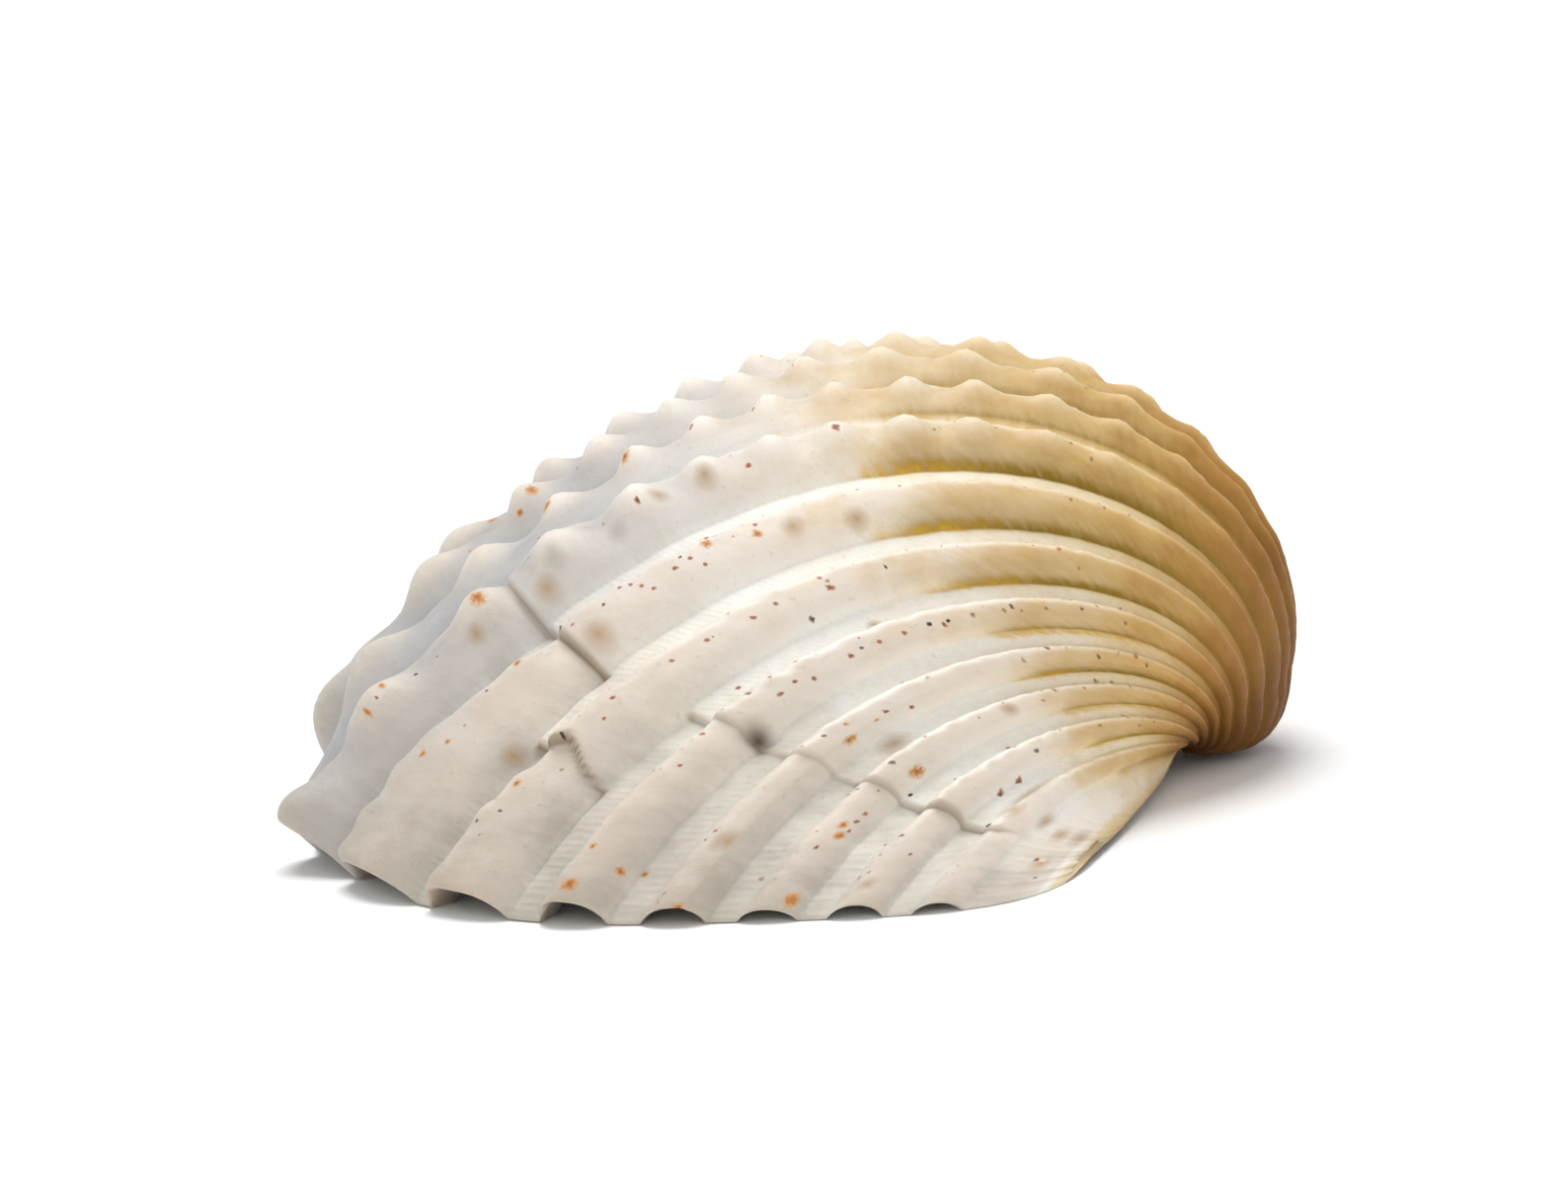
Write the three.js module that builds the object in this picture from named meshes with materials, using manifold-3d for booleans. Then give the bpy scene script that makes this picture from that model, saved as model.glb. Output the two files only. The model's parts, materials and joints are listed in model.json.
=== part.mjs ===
// One empty valve of a ribbed ark clam, resting on its margin with the rounded side up.
// Lengths are millimetres and turns are radians. +Z is up, -X is the open ventral edge,
// +X is the beak, and Y follows the hinge, with the longer rear end at -Y.
// The outside is a coil: the flat outline of the margin turns about a pole beside the
// hinge and shrinks as it turns, from the margin (turn 0) to the beak.
import * as THREE from 'three';
import Module from 'manifold-3d';

const { clamp, degToRad, lerp, smoothstep } = THREE.MathUtils;

// Outline of the margin, seen from above
const OUTLINE_MIDDLE_X = -19.5;
const VENTRAL_REACH = 17.2;
const DORSAL_REACH = 16.5;
const REAR_REACH = 27.8;
const FRONT_REACH = 25.3;
const OBLIQUITY = -0.08;
const VENTRAL_SQUARENESS = 2.1;
const REAR_HINGE_SQUARENESS = 4.7;
const FRONT_HINGE_SQUARENESS = 3.2;
const HINGE_SIDE_START = 0.75;
const HINGE_SIDE_FULL = 0.98;

// Coil of the valve about its pole
const POLE_HEIGHT = -0.7;
const POLE_LIFT = 2.1;
const COIL_RATE = 0.576;
const COIL_RATE_GAIN = 0.07;
const GAIN_END = 2.6;
const COIL_TWIST = degToRad(3);
const BEAK_TURN = 4.4;

// The beak stays just clear of the ground
const BEAK_CLEARANCE = 0.12;
const BEAK_SOFTNESS = 0.5;
const BEAK_SIDE_START = 1.6;
const BEAK_SIDE_FULL = 2.4;

// The front half is narrower than the plain outline, and its margin bends in
const SHOULDER_INSET = 1.3;
const SHOULDER_START = 14.5;
const SHOULDER_FULL = 7.5;
const SHOULDER_LOSS = 0.5;
const SHOULDER_LOSS_START = 0.9;
const SHOULDER_LOSS_FULL = 1.8;
const SADDLE_INSET = 0.6;
const SADDLE_TURN = 0.44;
const SADDLE_WIDTH = 0.2;
const MARGIN_BEND = 2.1;
const BEND_START = 14;
const BEND_FULL = 7;
const BEND_TURN = 0.16;

// Ribs: pitch along the margin is widest in the middle and narrow at both ends
const RIB_COUNT = 19;
const FIRST_RIB_EDGE = 48.1;
const NARROW_PITCH = 2.4;
const PITCH_GAIN = 5.5;
const PITCH_REACH = 27.6;
const PITCH_POWER = 4;
const RIB_SHARE = 0.66;
const RIB_BASE_RELIEF = 0.5;
const RIB_RELIEF_PER_PITCH = 0.12;
const RIB_DRIFT = 0.08;
const RELIEF_FADE = 0.85;
const FIRST_RIB_STRENGTH = 0.45;
const LAST_RIB_STRENGTH = 0.4;
const FAINT_FRONT_RIBS = 3;

// Section of a rib: round rear flank, rising top and square front edge
const REAR_ROUNDNESS = 2.2;
const REAR_POWER = 0.75;
const FRONT_SQUARENESS = 5;
const FRONT_POWER = 0.6;
const REAR_CREST = 0.85;
const CREST_RISE = 0.3;

// Near the margin the rear ribs are softer and two ribs of the middle are wider
const SOFT_RIB_SHARES = [0.55, 0.55, 0.55, 0.8];
const SOFT_START = 0.32;
const SOFT_END = 0.44;
const WIDER_BY = { 5: 0.8, 6: 1.6 };
const WIDER_START = 0.1;
const WIDER_END = 0.42;
const ARCH_LIFT = 0.3;
const REAR_ARCH_SHARE = 0.3;
const LOW_ARCH_RIB = 2;
const FULL_ARCH_RIB = 5;
const ARCH_LEAST_REACH = 8;

// Knobs along the middle and front ribs, in rows that follow the growth lines
const KNOB_TURNS = [
  0, 0.18, 0.34, 0.45, 0.57, 0.67, 0.77, 0.87, 0.99, 1.11, 1.26, 1.42, 1.6, 1.8, 2.02, 2.26, 2.5,
];
const KNOB_RELIEF = 0.9;
const KNOB_POWER = 1.5;
const KNOB_MIDDLE = 0.6;
const KNOB_WIDTH = 0.27;
const KNOB_FULL_PITCH = 7;
const KNOB_FADE_START = 1.1;
const KNOB_FADE_END = 2.4;
const FIRST_KNOBBED_RIB = 6;
const FIRST_KNOBBED_STRENGTH = 0.3;
const FIRST_STAGGERED_RIB = 9;
const KNOB_STAGGER = 0.55;
const STAGGER_FADE_START = 0.8;
const STAGGER_FADE_END = 1.3;

// Growth ledges, where a later part of the shell starts lower
const LEDGE_TURN = 0.4;
const LATE_LEDGE_TURN = 0.25;
const LATE_LEDGE_RIB = 5;
const LEDGE_LOWER_LIP = 0.008;
const LEDGE_UPPER_LIP = 0.004;
const LEDGE_DROP = 0.4;
const LEDGE_FADE = 0.13;
const LEDGE_MARGIN = 0.1;
const LEDGE_REAR_END = 48;
const LEDGE_FRONT_END = 11;
const LEDGE_RUN_OUT = 3;

// Wall, hinge plate and hollow
const MARGIN_WALL = 1.4;
const HINGE_PLATE = 3.2;
const HINGE_RISE = 0.6;
const PLATE_RISE = 0.8;
const RISE_TURN = 0.4;
const HOLLOW_COIL_RATE = 0.68;
const FURROW_DEPTH = 0.5;
const FURROW_TURN = 0.14;

// Row of hinge teeth
const TOOTH_PITCH = 1.6;
const TOOTH_THICKNESS = 0.6;
const TOOTH_LENGTH = 2.1;
const TOOTH_TIP_Z = 0.1;
const TOOTH_ROOT_Z = 1.4;
const TOOTH_SPLAY = degToRad(22);
const REAR_TOOTH = 60.7;
const FRONT_TOOTH = -55.5;

// Pit in the groove floor on the growth ledge
const PIT_TURN = 0.395;
const PIT_PLACE = 34.2;
const PIT_RADIUS = 0.75;
const PIT_SINK = 0.25;

// Middle of the footprint, which is the part's origin
const FOOTPRINT_MIDDLE = new THREE.Vector3(-15.05, -2.275, 0);

// Facets: columns run from rib to rib, and rows from the beak to the top of the hollow
const RIB_COLUMNS = [0, 0.14, 0.55, 0.87, 1];
const NARROW_RIB_COLUMNS = [0, 0.3, 0.8, 1];
const FIRST_NARROW_RIB = 14;
const HINGE_COLUMNS = 14;
const BETWEEN_KNOBS = [0.09, 0.51, 0.62, 0.72, 0.82, 0.93, 1.05];
const BEAK_ROWS = 5;
const INNER_TURNS = [0, 0.09, 0.3, 0.65, 1, 1.3, 1.55, 1.66];
const INNER_SHARES = [1, 1, 1, 1, 1, 0.96, 0.8, 0.5];

// Small steps for slopes, and the detail of the table along the outline
const BEARING_STEP = 0.001;
const SKIN_STEP = 0.01;
const TABLE_STEPS = 8000;

const POLE = new THREE.Vector3(0, 0, POLE_HEIGHT);
const COIL_AXIS = new THREE.Vector3(Math.sin(COIL_TWIST), Math.cos(COIL_TWIST), 0);

function signedPower(value, power) {
  return Math.sign(value) * Math.pow(Math.abs(value), power);
}

// Point of the outline: bearing 0 is ventral, +PI/2 the rear end, PI the hinge
function outline(bearing) {
  const c = Math.cos(bearing);
  const s = Math.sin(bearing);
  const hingeSide = s > 0 ? REAR_HINGE_SQUARENESS : FRONT_HINGE_SQUARENESS;
  const power = 2 / (c > 0 ? VENTRAL_SQUARENESS : hingeSide);
  const reachX = c > 0 ? VENTRAL_REACH : DORSAL_REACH;
  const reachY = s > 0 ? REAR_REACH : FRONT_REACH;
  const y = -reachY * signedPower(s, power);
  const x = OUTLINE_MIDDLE_X - reachX * signedPower(c, power) + OBLIQUITY * y;
  return new THREE.Vector3(x, y, 0);
}

// Level direction that points out of the outline
function outwardAt(bearing) {
  const along = outline(bearing + BEARING_STEP).sub(outline(bearing - BEARING_STEP)).normalize();
  return new THREE.Vector3(along.y, -along.x, 0);
}

// Places along the margin are measured in millimetres from the ventral middle,
// positive towards the rear, so a table turns such a place into a bearing
const tableBearing = [];
const tablePlace = [];
{
  let place = 0;
  let last = outline(-Math.PI);
  for (let i = 0; i <= TABLE_STEPS; i++) {
    const bearing = -Math.PI + (2 * Math.PI * i) / TABLE_STEPS;
    const point = outline(bearing);
    place += point.distanceTo(last);
    last = point;
    tableBearing.push(bearing);
    tablePlace.push(place);
  }
  const middle = tablePlace[TABLE_STEPS / 2];
  for (let i = 0; i <= TABLE_STEPS; i++) {
    tablePlace[i] -= middle;
  }
}
const FRONT_END_PLACE = tablePlace[0];
const PERIMETER = tablePlace[TABLE_STEPS] - FRONT_END_PLACE;

// Brings a place that runs on past either end back into the table
function wrapped(place) {
  return THREE.MathUtils.euclideanModulo(place - FRONT_END_PLACE, PERIMETER) + FRONT_END_PLACE;
}

function bearingAt(place) {
  const p = wrapped(place);
  let low = 0;
  let high = TABLE_STEPS;
  while (high - low > 1) {
    const mid = (low + high) >> 1;
    if (tablePlace[mid] <= p) {
      low = mid;
    } else {
      high = mid;
    }
  }
  const t = (p - tablePlace[low]) / (tablePlace[high] - tablePlace[low]);
  return lerp(tableBearing[low], tableBearing[high], t);
}

// Weight of the hinge side: 0 along the open edge, 1 along the straight hinge
function hingeWeight(place) {
  return smoothstep(-Math.cos(bearingAt(place)), HINGE_SIDE_START, HINGE_SIDE_FULL);
}

// How far the skin lies inside the plain outline, towards the front
function frontInset(turn, place) {
  const p = wrapped(place);
  const loss = SHOULDER_LOSS * smoothstep(turn, SHOULDER_LOSS_START, SHOULDER_LOSS_FULL);
  const saddle = SADDLE_INSET * Math.exp(-(((turn - SADDLE_TURN) / SADDLE_WIDTH) ** 2));
  const shoulder = SHOULDER_INSET * (1 - loss) + saddle;
  const bend = MARGIN_BEND * Math.max(1 - turn / BEND_TURN, 0) ** 2;
  const shoulderWeight = smoothstep(-p, -SHOULDER_START, -SHOULDER_FULL);
  const bendWeight = smoothstep(-p, -BEND_START, -BEND_FULL);
  return (shoulder * shoulderWeight + bend * bendWeight) * (1 - hingeWeight(place));
}

function coilSize(turn, rate) {
  return Math.exp(-(rate * turn + COIL_RATE_GAIN * Math.min(turn, GAIN_END) ** 2));
}

// Turns a point of the flat outline about the pole and shrinks it
function coil(point, turn, rate) {
  const size = coilSize(turn, rate);
  const turned = point.clone().sub(POLE).multiplyScalar(size).applyAxisAngle(COIL_AXIS, turn);
  turned.add(POLE);
  turned.z += POLE_LIFT * (1 - size) ** 2;
  return turned;
}

// Smooth outside of the valve, before ribs
function skin(turn, place) {
  const bearing = bearingAt(place);
  const drift = RIB_DRIFT * turn * Math.max(Math.cos(bearing), 0) ** 2;
  const edge = outline(bearing - drift).addScaledVector(outwardAt(bearing), -frontInset(turn, place));
  return coil(edge, turn, COIL_RATE);
}

function skinNormal(turn, place) {
  const along = skin(turn, place + SKIN_STEP).sub(skin(turn, place - SKIN_STEP));
  const up = skin(turn + SKIN_STEP, place).sub(skin(turn - SKIN_STEP, place));
  return along.cross(up).normalize();
}

// Rear edges of the ribs along the margin
function pitchNear(place) {
  return NARROW_PITCH + PITCH_GAIN / (1 + Math.pow(place / PITCH_REACH, PITCH_POWER));
}
const ribEdges = [FIRST_RIB_EDGE];
for (let k = 0; k < RIB_COUNT; k++) {
  const edge = ribEdges[k];
  ribEdges.push(edge - pitchNear(edge - pitchNear(edge) / 2));
}

function ribPitch(k) {
  return ribEdges[k] - ribEdges[k + 1];
}

function ribWidth(turn, k) {
  const wider = (WIDER_BY[k] ?? 0) * smoothstep(-turn, -WIDER_END, -WIDER_START);
  return ribPitch(k) * RIB_SHARE + wider;
}

// Strength of each rib: the first beside the smooth rear field and the last are faint
function ribStrength(k) {
  if (k === 0) return FIRST_RIB_STRENGTH;
  return clamp((RIB_COUNT - k) / FAINT_FRONT_RIBS, LAST_RIB_STRENGTH, 1);
}

function ribRelief(turn, k) {
  const late = 1 - smoothstep(turn, SOFT_START, SOFT_END);
  const softness = lerp(1, SOFT_RIB_SHARES[k] ?? 1, late);
  return ribStrength(k) * softness * (RIB_BASE_RELIEF + RIB_RELIEF_PER_PITCH * ribPitch(k));
}

// Height of a rib's section, for a share from 0 to 1 across the rib from its rear edge
function ribProfile(across) {
  if (across <= 0 || across >= 1) return 0;
  const offMiddle = Math.abs(2 * across - 1);
  const rear = Math.pow(1 - Math.pow(offMiddle, REAR_ROUNDNESS), REAR_POWER);
  const front = Math.pow(1 - Math.pow(offMiddle, FRONT_SQUARENESS), FRONT_POWER);
  return (across < 0.5 ? rear : front) * (REAR_CREST + CREST_RISE * across);
}

// Rib under a place: its number, or -1 beside the ribs, and the share across it
function ribAt(turn, place) {
  for (let k = 0; k < RIB_COUNT; k++) {
    if (place <= ribEdges[k] && place > ribEdges[k + 1]) {
      return { k, across: (ribEdges[k] - place) / ribWidth(turn, k) };
    }
  }
  return { k: -1, across: -1 };
}

// Count of knobs that stand between the margin and a turn
function knobPhase(turn) {
  const last = KNOB_TURNS.length - 1;
  for (let i = 0; i < last; i++) {
    if (turn < KNOB_TURNS[i + 1]) {
      return i + (turn - KNOB_TURNS[i]) / (KNOB_TURNS[i + 1] - KNOB_TURNS[i]);
    }
  }
  return last;
}

function knobHeight(turn, rib) {
  if (rib.k < FIRST_KNOBBED_RIB) return 0;
  const first = rib.k === FIRST_KNOBBED_RIB ? FIRST_KNOBBED_STRENGTH : 1;
  const strength = first * Math.min(ribPitch(rib.k) / KNOB_FULL_PITCH, 1) ** 2;
  const staggered = 1 - smoothstep(turn, STAGGER_FADE_START, STAGGER_FADE_END);
  const shift = rib.k >= FIRST_STAGGERED_RIB ? KNOB_STAGGER * staggered : 0;
  const wave = 0.5 + 0.5 * Math.cos(2 * Math.PI * (knobPhase(turn) + shift));
  const crown = Math.exp(-(((rib.across - KNOB_MIDDLE) / KNOB_WIDTH) ** 2));
  const fade = 1 - smoothstep(turn, KNOB_FADE_START, KNOB_FADE_END);
  return KNOB_RELIEF * strength * Math.pow(wave, KNOB_POWER) * crown * fade;
}

// A ledge steps down towards the margin and fills up again before it
function ledgeDrop(turn, place, k) {
  const rear = smoothstep(LEDGE_REAR_END - place, 0, LEDGE_RUN_OUT);
  const front = smoothstep(place - LEDGE_FRONT_END, 0, LEDGE_RUN_OUT);
  const margin = smoothstep(turn, 0, LEDGE_MARGIN);
  const below = turn - (k === LATE_LEDGE_RIB ? LATE_LEDGE_TURN : LEDGE_TURN);
  const depth = LEDGE_DROP * Math.exp(Math.min(below, 0) / LEDGE_FADE);
  return depth * rear * front * margin * (1 - smoothstep(below, -LEDGE_LOWER_LIP, LEDGE_UPPER_LIP));
}

// Height of a point of the beak, eased so that none lies under the ground
function eased(turn, z) {
  const above = (z - BEAK_CLEARANCE) / BEAK_SOFTNESS;
  const lifted = BEAK_CLEARANCE + BEAK_SOFTNESS * Math.log(1 + Math.exp(above));
  return lerp(z, lifted, smoothstep(turn, BEAK_SIDE_START, BEAK_SIDE_FULL));
}

function outside(turn, place) {
  const rib = ribAt(turn, place);
  const profile = ribProfile(rib.across);
  const onRib = profile > 0 ? ribRelief(turn, rib.k) * profile + knobHeight(turn, rib) : 0;
  const relief = onRib * Math.pow(coilSize(turn, COIL_RATE), RELIEF_FADE);
  const reach = Math.max(-outline(bearingAt(place)).x, ARCH_LEAST_REACH);
  const archShare = lerp(REAR_ARCH_SHARE, 1, smoothstep(rib.k, LOW_ARCH_RIB, FULL_ARCH_RIB));
  const arch = (ARCH_LIFT * archShare * profile) / reach;
  const onSkin = turn + arch * Math.max(1 - turn / FURROW_TURN, 0);
  const normal = skinNormal(onSkin, place);
  if (turn < BEND_TURN) normal.z = Math.max(normal.z, 0);
  const point = skin(onSkin, place).addScaledVector(normal, relief - ledgeDrop(turn, place, rib.k));
  point.z += HINGE_RISE * hingeWeight(place) * Math.max(1 - turn / RISE_TURN, 0);
  point.z = eased(turn, point.z);
  return point;
}

// Smooth inside, with furrows under the ribs along the margin
function inside(turn, place) {
  const bearing = bearingAt(place);
  const weight = hingeWeight(place);
  const inset = lerp(MARGIN_WALL, HINGE_PLATE, weight) + frontInset(turn, place);
  const profile = ribProfile(ribAt(0, place).across);
  const furrow = FURROW_DEPTH * profile * Math.max(1 - turn / FURROW_TURN, 0);
  const start = outline(bearing).addScaledVector(outwardAt(bearing), furrow - inset);
  const point = coil(start, turn, HOLLOW_COIL_RATE);
  const rise = lerp(outside(0, place).z, PLATE_RISE, weight);
  point.z += rise * Math.max(1 - turn / RISE_TURN, 0);
  return point;
}

// Places of the columns at one turn: they follow the edges of the ribs
function columnsAt(turn) {
  const places = [];
  for (let k = 0; k < RIB_COUNT; k++) {
    const shares = k < FIRST_NARROW_RIB ? RIB_COLUMNS : NARROW_RIB_COLUMNS;
    for (const share of shares) {
      places.push(ribEdges[k] - share * ribWidth(turn, k));
    }
  }
  const hingeStart = ribEdges[RIB_COUNT];
  const hingeLength = PERIMETER - (FIRST_RIB_EDGE - hingeStart);
  for (let i = 0; i < HINGE_COLUMNS; i++) {
    places.push(wrapped(hingeStart - (hingeLength * i) / HINGE_COLUMNS));
  }
  return places;
}

// Turns of the outer rows: on and between the knobs, both lips of the ledges, the beak
function outerTurns() {
  const turns = [...KNOB_TURNS, ...BETWEEN_KNOBS];
  for (const ledge of [LEDGE_TURN, LATE_LEDGE_TURN]) {
    turns.push(ledge - LEDGE_LOWER_LIP, ledge + LEDGE_UPPER_LIP);
  }
  const lastKnob = KNOB_TURNS[KNOB_TURNS.length - 1];
  for (let row = 1; row <= BEAK_ROWS; row++) {
    turns.push(lerp(lastKnob, BEAK_TURN, row / BEAK_ROWS));
  }
  return turns.sort((a, b) => b - a);
}

function middleOf(points) {
  const middle = new THREE.Vector3();
  for (const point of points) {
    middle.add(point);
  }
  return middle.divideScalar(points.length);
}

// The closed body is one strip of rows: beak, outside, margin, inside, top of the hollow
function shellBody() {
  const rows = outerTurns().map((turn) => columnsAt(turn).map((place) => outside(turn, place)));
  INNER_TURNS.forEach((turn, i) => {
    const row = columnsAt(0).map((place) => inside(turn, place));
    const middle = middleOf(row);
    rows.push(row.map((point) => point.lerp(middle, 1 - INNER_SHARES[i])));
  });
  const count = rows[0].length;
  const lastRow = (rows.length - 1) * count;
  const tip = rows.length * count;
  const top = tip + 1;
  const points = [...rows.flat(), middleOf(rows[0]), middleOf(rows[rows.length - 1])];
  const triangles = [];
  for (let j = 0; j < count; j++) {
    const next = (j + 1) % count;
    triangles.push(tip, next, j);
    for (let start = 0; start < lastRow; start += count) {
      const a = start + j;
      const b = start + next;
      triangles.push(a, b, b + count, a, b + count, a + count);
    }
    triangles.push(lastRow + j, lastRow + next, top);
  }
  return { positions: points.flatMap((point) => point.toArray()), triangles };
}

const wasm = await Module();
wasm.setup();

function solidFrom({ positions, triangles }) {
  return new wasm.Manifold(new wasm.Mesh({
    numProp: 3,
    vertProperties: new Float32Array(positions),
    triVerts: new Uint32Array(triangles),
  }));
}

// Closed solid of a convex three.js geometry, with its corners joined
function solidOf(geometry) {
  const source = (geometry.index ? geometry.toNonIndexed() : geometry).attributes.position;
  const positions = [];
  const triangles = [];
  const numbers = new Map();
  for (let i = 0; i < source.count; i++) {
    const xyz = [source.getX(i), source.getY(i), source.getZ(i)];
    const key = xyz.map((v) => v.toFixed(5)).join();
    if (!numbers.has(key)) {
      numbers.set(key, numbers.size);
      positions.push(...xyz);
    }
    triangles.push(numbers.get(key));
  }
  return solidFrom({ positions, triangles });
}

// Teeth stand across the hinge plate and splay outwards at both ends
function toothSolids() {
  const length = PERIMETER - (REAR_TOOTH - FRONT_TOOTH);
  const count = Math.floor(length / TOOTH_PITCH) + 1;
  const teeth = [];
  for (let i = 0; i < count; i++) {
    const place = REAR_TOOTH + i * TOOTH_PITCH;
    const bearing = bearingAt(place);
    const outward = outwardAt(bearing);
    const inset = HINGE_PLATE / 2 + frontInset(0, place);
    const middle = outline(bearing).addScaledVector(outward, -inset);
    const splay = TOOTH_SPLAY * ((2 * i) / (count - 1) - 1);
    const tooth = new THREE.BoxGeometry(TOOTH_LENGTH, TOOTH_THICKNESS, TOOTH_ROOT_Z - TOOTH_TIP_Z);
    tooth.rotateZ(Math.atan2(outward.y, outward.x) + splay);
    tooth.translate(middle.x, middle.y, (TOOTH_ROOT_Z + TOOTH_TIP_Z) / 2);
    teeth.push(solidOf(tooth));
  }
  return teeth;
}

function pitSolid() {
  const pit = new THREE.IcosahedronGeometry(PIT_RADIUS, 1);
  const normal = skinNormal(PIT_TURN, PIT_PLACE);
  const middle = skin(PIT_TURN, PIT_PLACE).addScaledVector(normal, PIT_RADIUS / 2 - PIT_SINK);
  pit.translate(middle.x, middle.y, middle.z);
  return solidOf(pit);
}

let valveSolid = solidFrom(shellBody());
for (const tooth of toothSolids()) {
  valveSolid = valveSolid.add(tooth);
}
valveSolid = valveSolid.subtract(pitSolid());

const cut = valveSolid.getMesh();
const valveGeometry = new THREE.BufferGeometry();
valveGeometry.setAttribute('position', new THREE.BufferAttribute(new Float32Array(cut.vertProperties), 3));
valveGeometry.setIndex(new THREE.BufferAttribute(new Uint32Array(cut.triVerts), 1));
valveGeometry.translate(-FOOTPRINT_MIDDLE.x, -FOOTPRINT_MIDDLE.y, -FOOTPRINT_MIDDLE.z);
valveGeometry.computeVertexNormals();

const shellMaterial = new THREE.MeshStandardMaterial({ color: 0xe6e0d8, roughness: 0.5, metalness: 0 });
const valve = new THREE.Mesh(valveGeometry, shellMaterial);
valve.name = 'valve';

const arkShell = new THREE.Group();
arkShell.add(valve);

export default arkShell;
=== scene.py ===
"""The looks of one ribbed ark shell valve, resting on its margin with the domed side up."""
import json
import math

import bpy
import numpy as np
from mathutils import Matrix, Vector

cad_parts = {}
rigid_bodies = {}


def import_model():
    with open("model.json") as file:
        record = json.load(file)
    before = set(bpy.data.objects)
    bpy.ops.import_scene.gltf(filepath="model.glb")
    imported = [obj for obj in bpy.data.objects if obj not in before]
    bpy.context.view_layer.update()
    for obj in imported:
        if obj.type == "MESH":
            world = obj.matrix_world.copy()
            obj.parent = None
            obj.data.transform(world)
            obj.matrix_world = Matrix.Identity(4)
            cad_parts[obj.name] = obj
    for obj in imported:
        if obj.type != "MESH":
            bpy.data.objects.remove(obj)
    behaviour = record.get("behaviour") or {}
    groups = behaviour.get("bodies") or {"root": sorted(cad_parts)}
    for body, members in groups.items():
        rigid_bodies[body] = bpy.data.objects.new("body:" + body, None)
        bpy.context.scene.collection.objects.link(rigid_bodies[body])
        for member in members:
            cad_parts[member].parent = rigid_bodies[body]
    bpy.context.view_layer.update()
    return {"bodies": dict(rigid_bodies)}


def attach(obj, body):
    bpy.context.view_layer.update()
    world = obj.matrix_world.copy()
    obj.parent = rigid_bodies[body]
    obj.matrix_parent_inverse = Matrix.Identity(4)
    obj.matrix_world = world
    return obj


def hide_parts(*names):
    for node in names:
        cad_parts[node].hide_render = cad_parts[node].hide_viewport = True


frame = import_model()

# Lengths of the shell are millimetres and turns are radians, as in the valve's own frame
MM = 0.001

# Outline of the margin
OUTLINE_MIDDLE_X = -19.5
VENTRAL_REACH = 17.2
DORSAL_REACH = 16.5
REAR_REACH = 27.8
FRONT_REACH = 25.3
OBLIQUITY = -0.08
VENTRAL_SQUARENESS = 2.1
REAR_HINGE_SQUARENESS = 4.7
FRONT_HINGE_SQUARENESS = 3.2

# Coil of the valve about its pole, from the margin (turn 0) to the beak
POLE = np.array([0.0, 0.0, -0.7])
POLE_LIFT = 2.1
COIL_RATE = 0.576
COIL_RATE_GAIN = 0.07
GAIN_END = 2.6
COIL_TWIST = math.radians(3)
COIL_AXIS = np.array([math.sin(COIL_TWIST), math.cos(COIL_TWIST), 0.0])
BEAK_TURN = 4.4
FOOTPRINT_MIDDLE = np.array([-15.05, -2.275, 0.0])

# The front half is narrower, and the margin of the front ribs bends in
SHOULDER_INSET = 1.3
SHOULDER_LOSS = 0.5
SADDLE_INSET = 0.6
SADDLE_TURN = 0.44
SADDLE_WIDTH = 0.2
MARGIN_BEND = 2.1
BEND_TURN = 0.16
SHOULDER_PLACES = (-14.5, -7.5)
SHOULDER_LOSS_TURNS = (0.9, 1.8)
BEND_PLACES = (-14, -7)
HINGE_BEARING = (0.75, 0.98)
LEAST_REACH = 8
BEAK_CLEARANCE = 0.12
BEAK_SOFTNESS = 0.5
BEAK_LIFT_TURNS = (1.6, 2.4)
LIP_RADIUS = 0.45
FRONT_LIP_RADIUS = 1.1
LIP_TURN = 0.02
FRONT_LIP_TURN = 0.045
FRONT_LIP_PLACES = (-24, -18)

# Ribs: places along the margin are millimetres from the ventral middle, positive to the rear
RIB_COUNT = 19
FIRST_RIB_EDGE = 48.1
NARROW_PITCH = 2.4
PITCH_GAIN = 5.5
PITCH_REACH = 27.6
PITCH_POWER = 4
RIB_SHARE = 0.66
RIB_BASE_RELIEF = 0.5
RIB_RELIEF_PER_PITCH = 0.12
REAR_FLANK_POWERS = (2.2, 0.75)
FRONT_FLANK_POWERS = (5, 0.6)
SOFT_FLANK_POWERS = (2.3, 0.8)
CREST_RISE = (0.85, 0.3)
FIRST_RIB_STRENGTH = 0.45
LAST_RIB_STRENGTH = 0.4
FADING_RIBS = 3
RIB_DRIFT = 0.08
RELIEF_FADE = 0.85
ARCH_LIFT = 0.3
REAR_ARCH_SHARE = 0.3
LOW_ARCH_RIB = 2
FULL_ARCH_RIB = 5
SOFT_RIB = 2
SOFT_RIB_SHARE = 0.55
HALF_SOFT_RIB = 3
HALF_SOFT_RIB_SHARE = 0.8
FIRM_RIB = 5
SOFT_RIB_TURN = 0.38
SOFT_RIB_FADE = 0.06
FIRM_PROFILE_FADE = 0.1
WIDENED_RIBS = {5: 0.8, 6: 1.6}
WIDENED_TURN = 0.42
WIDEST_TURN = 0.1
FURROW_TURN = 0.14
FURROW_DEPTH = 0.5

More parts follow.
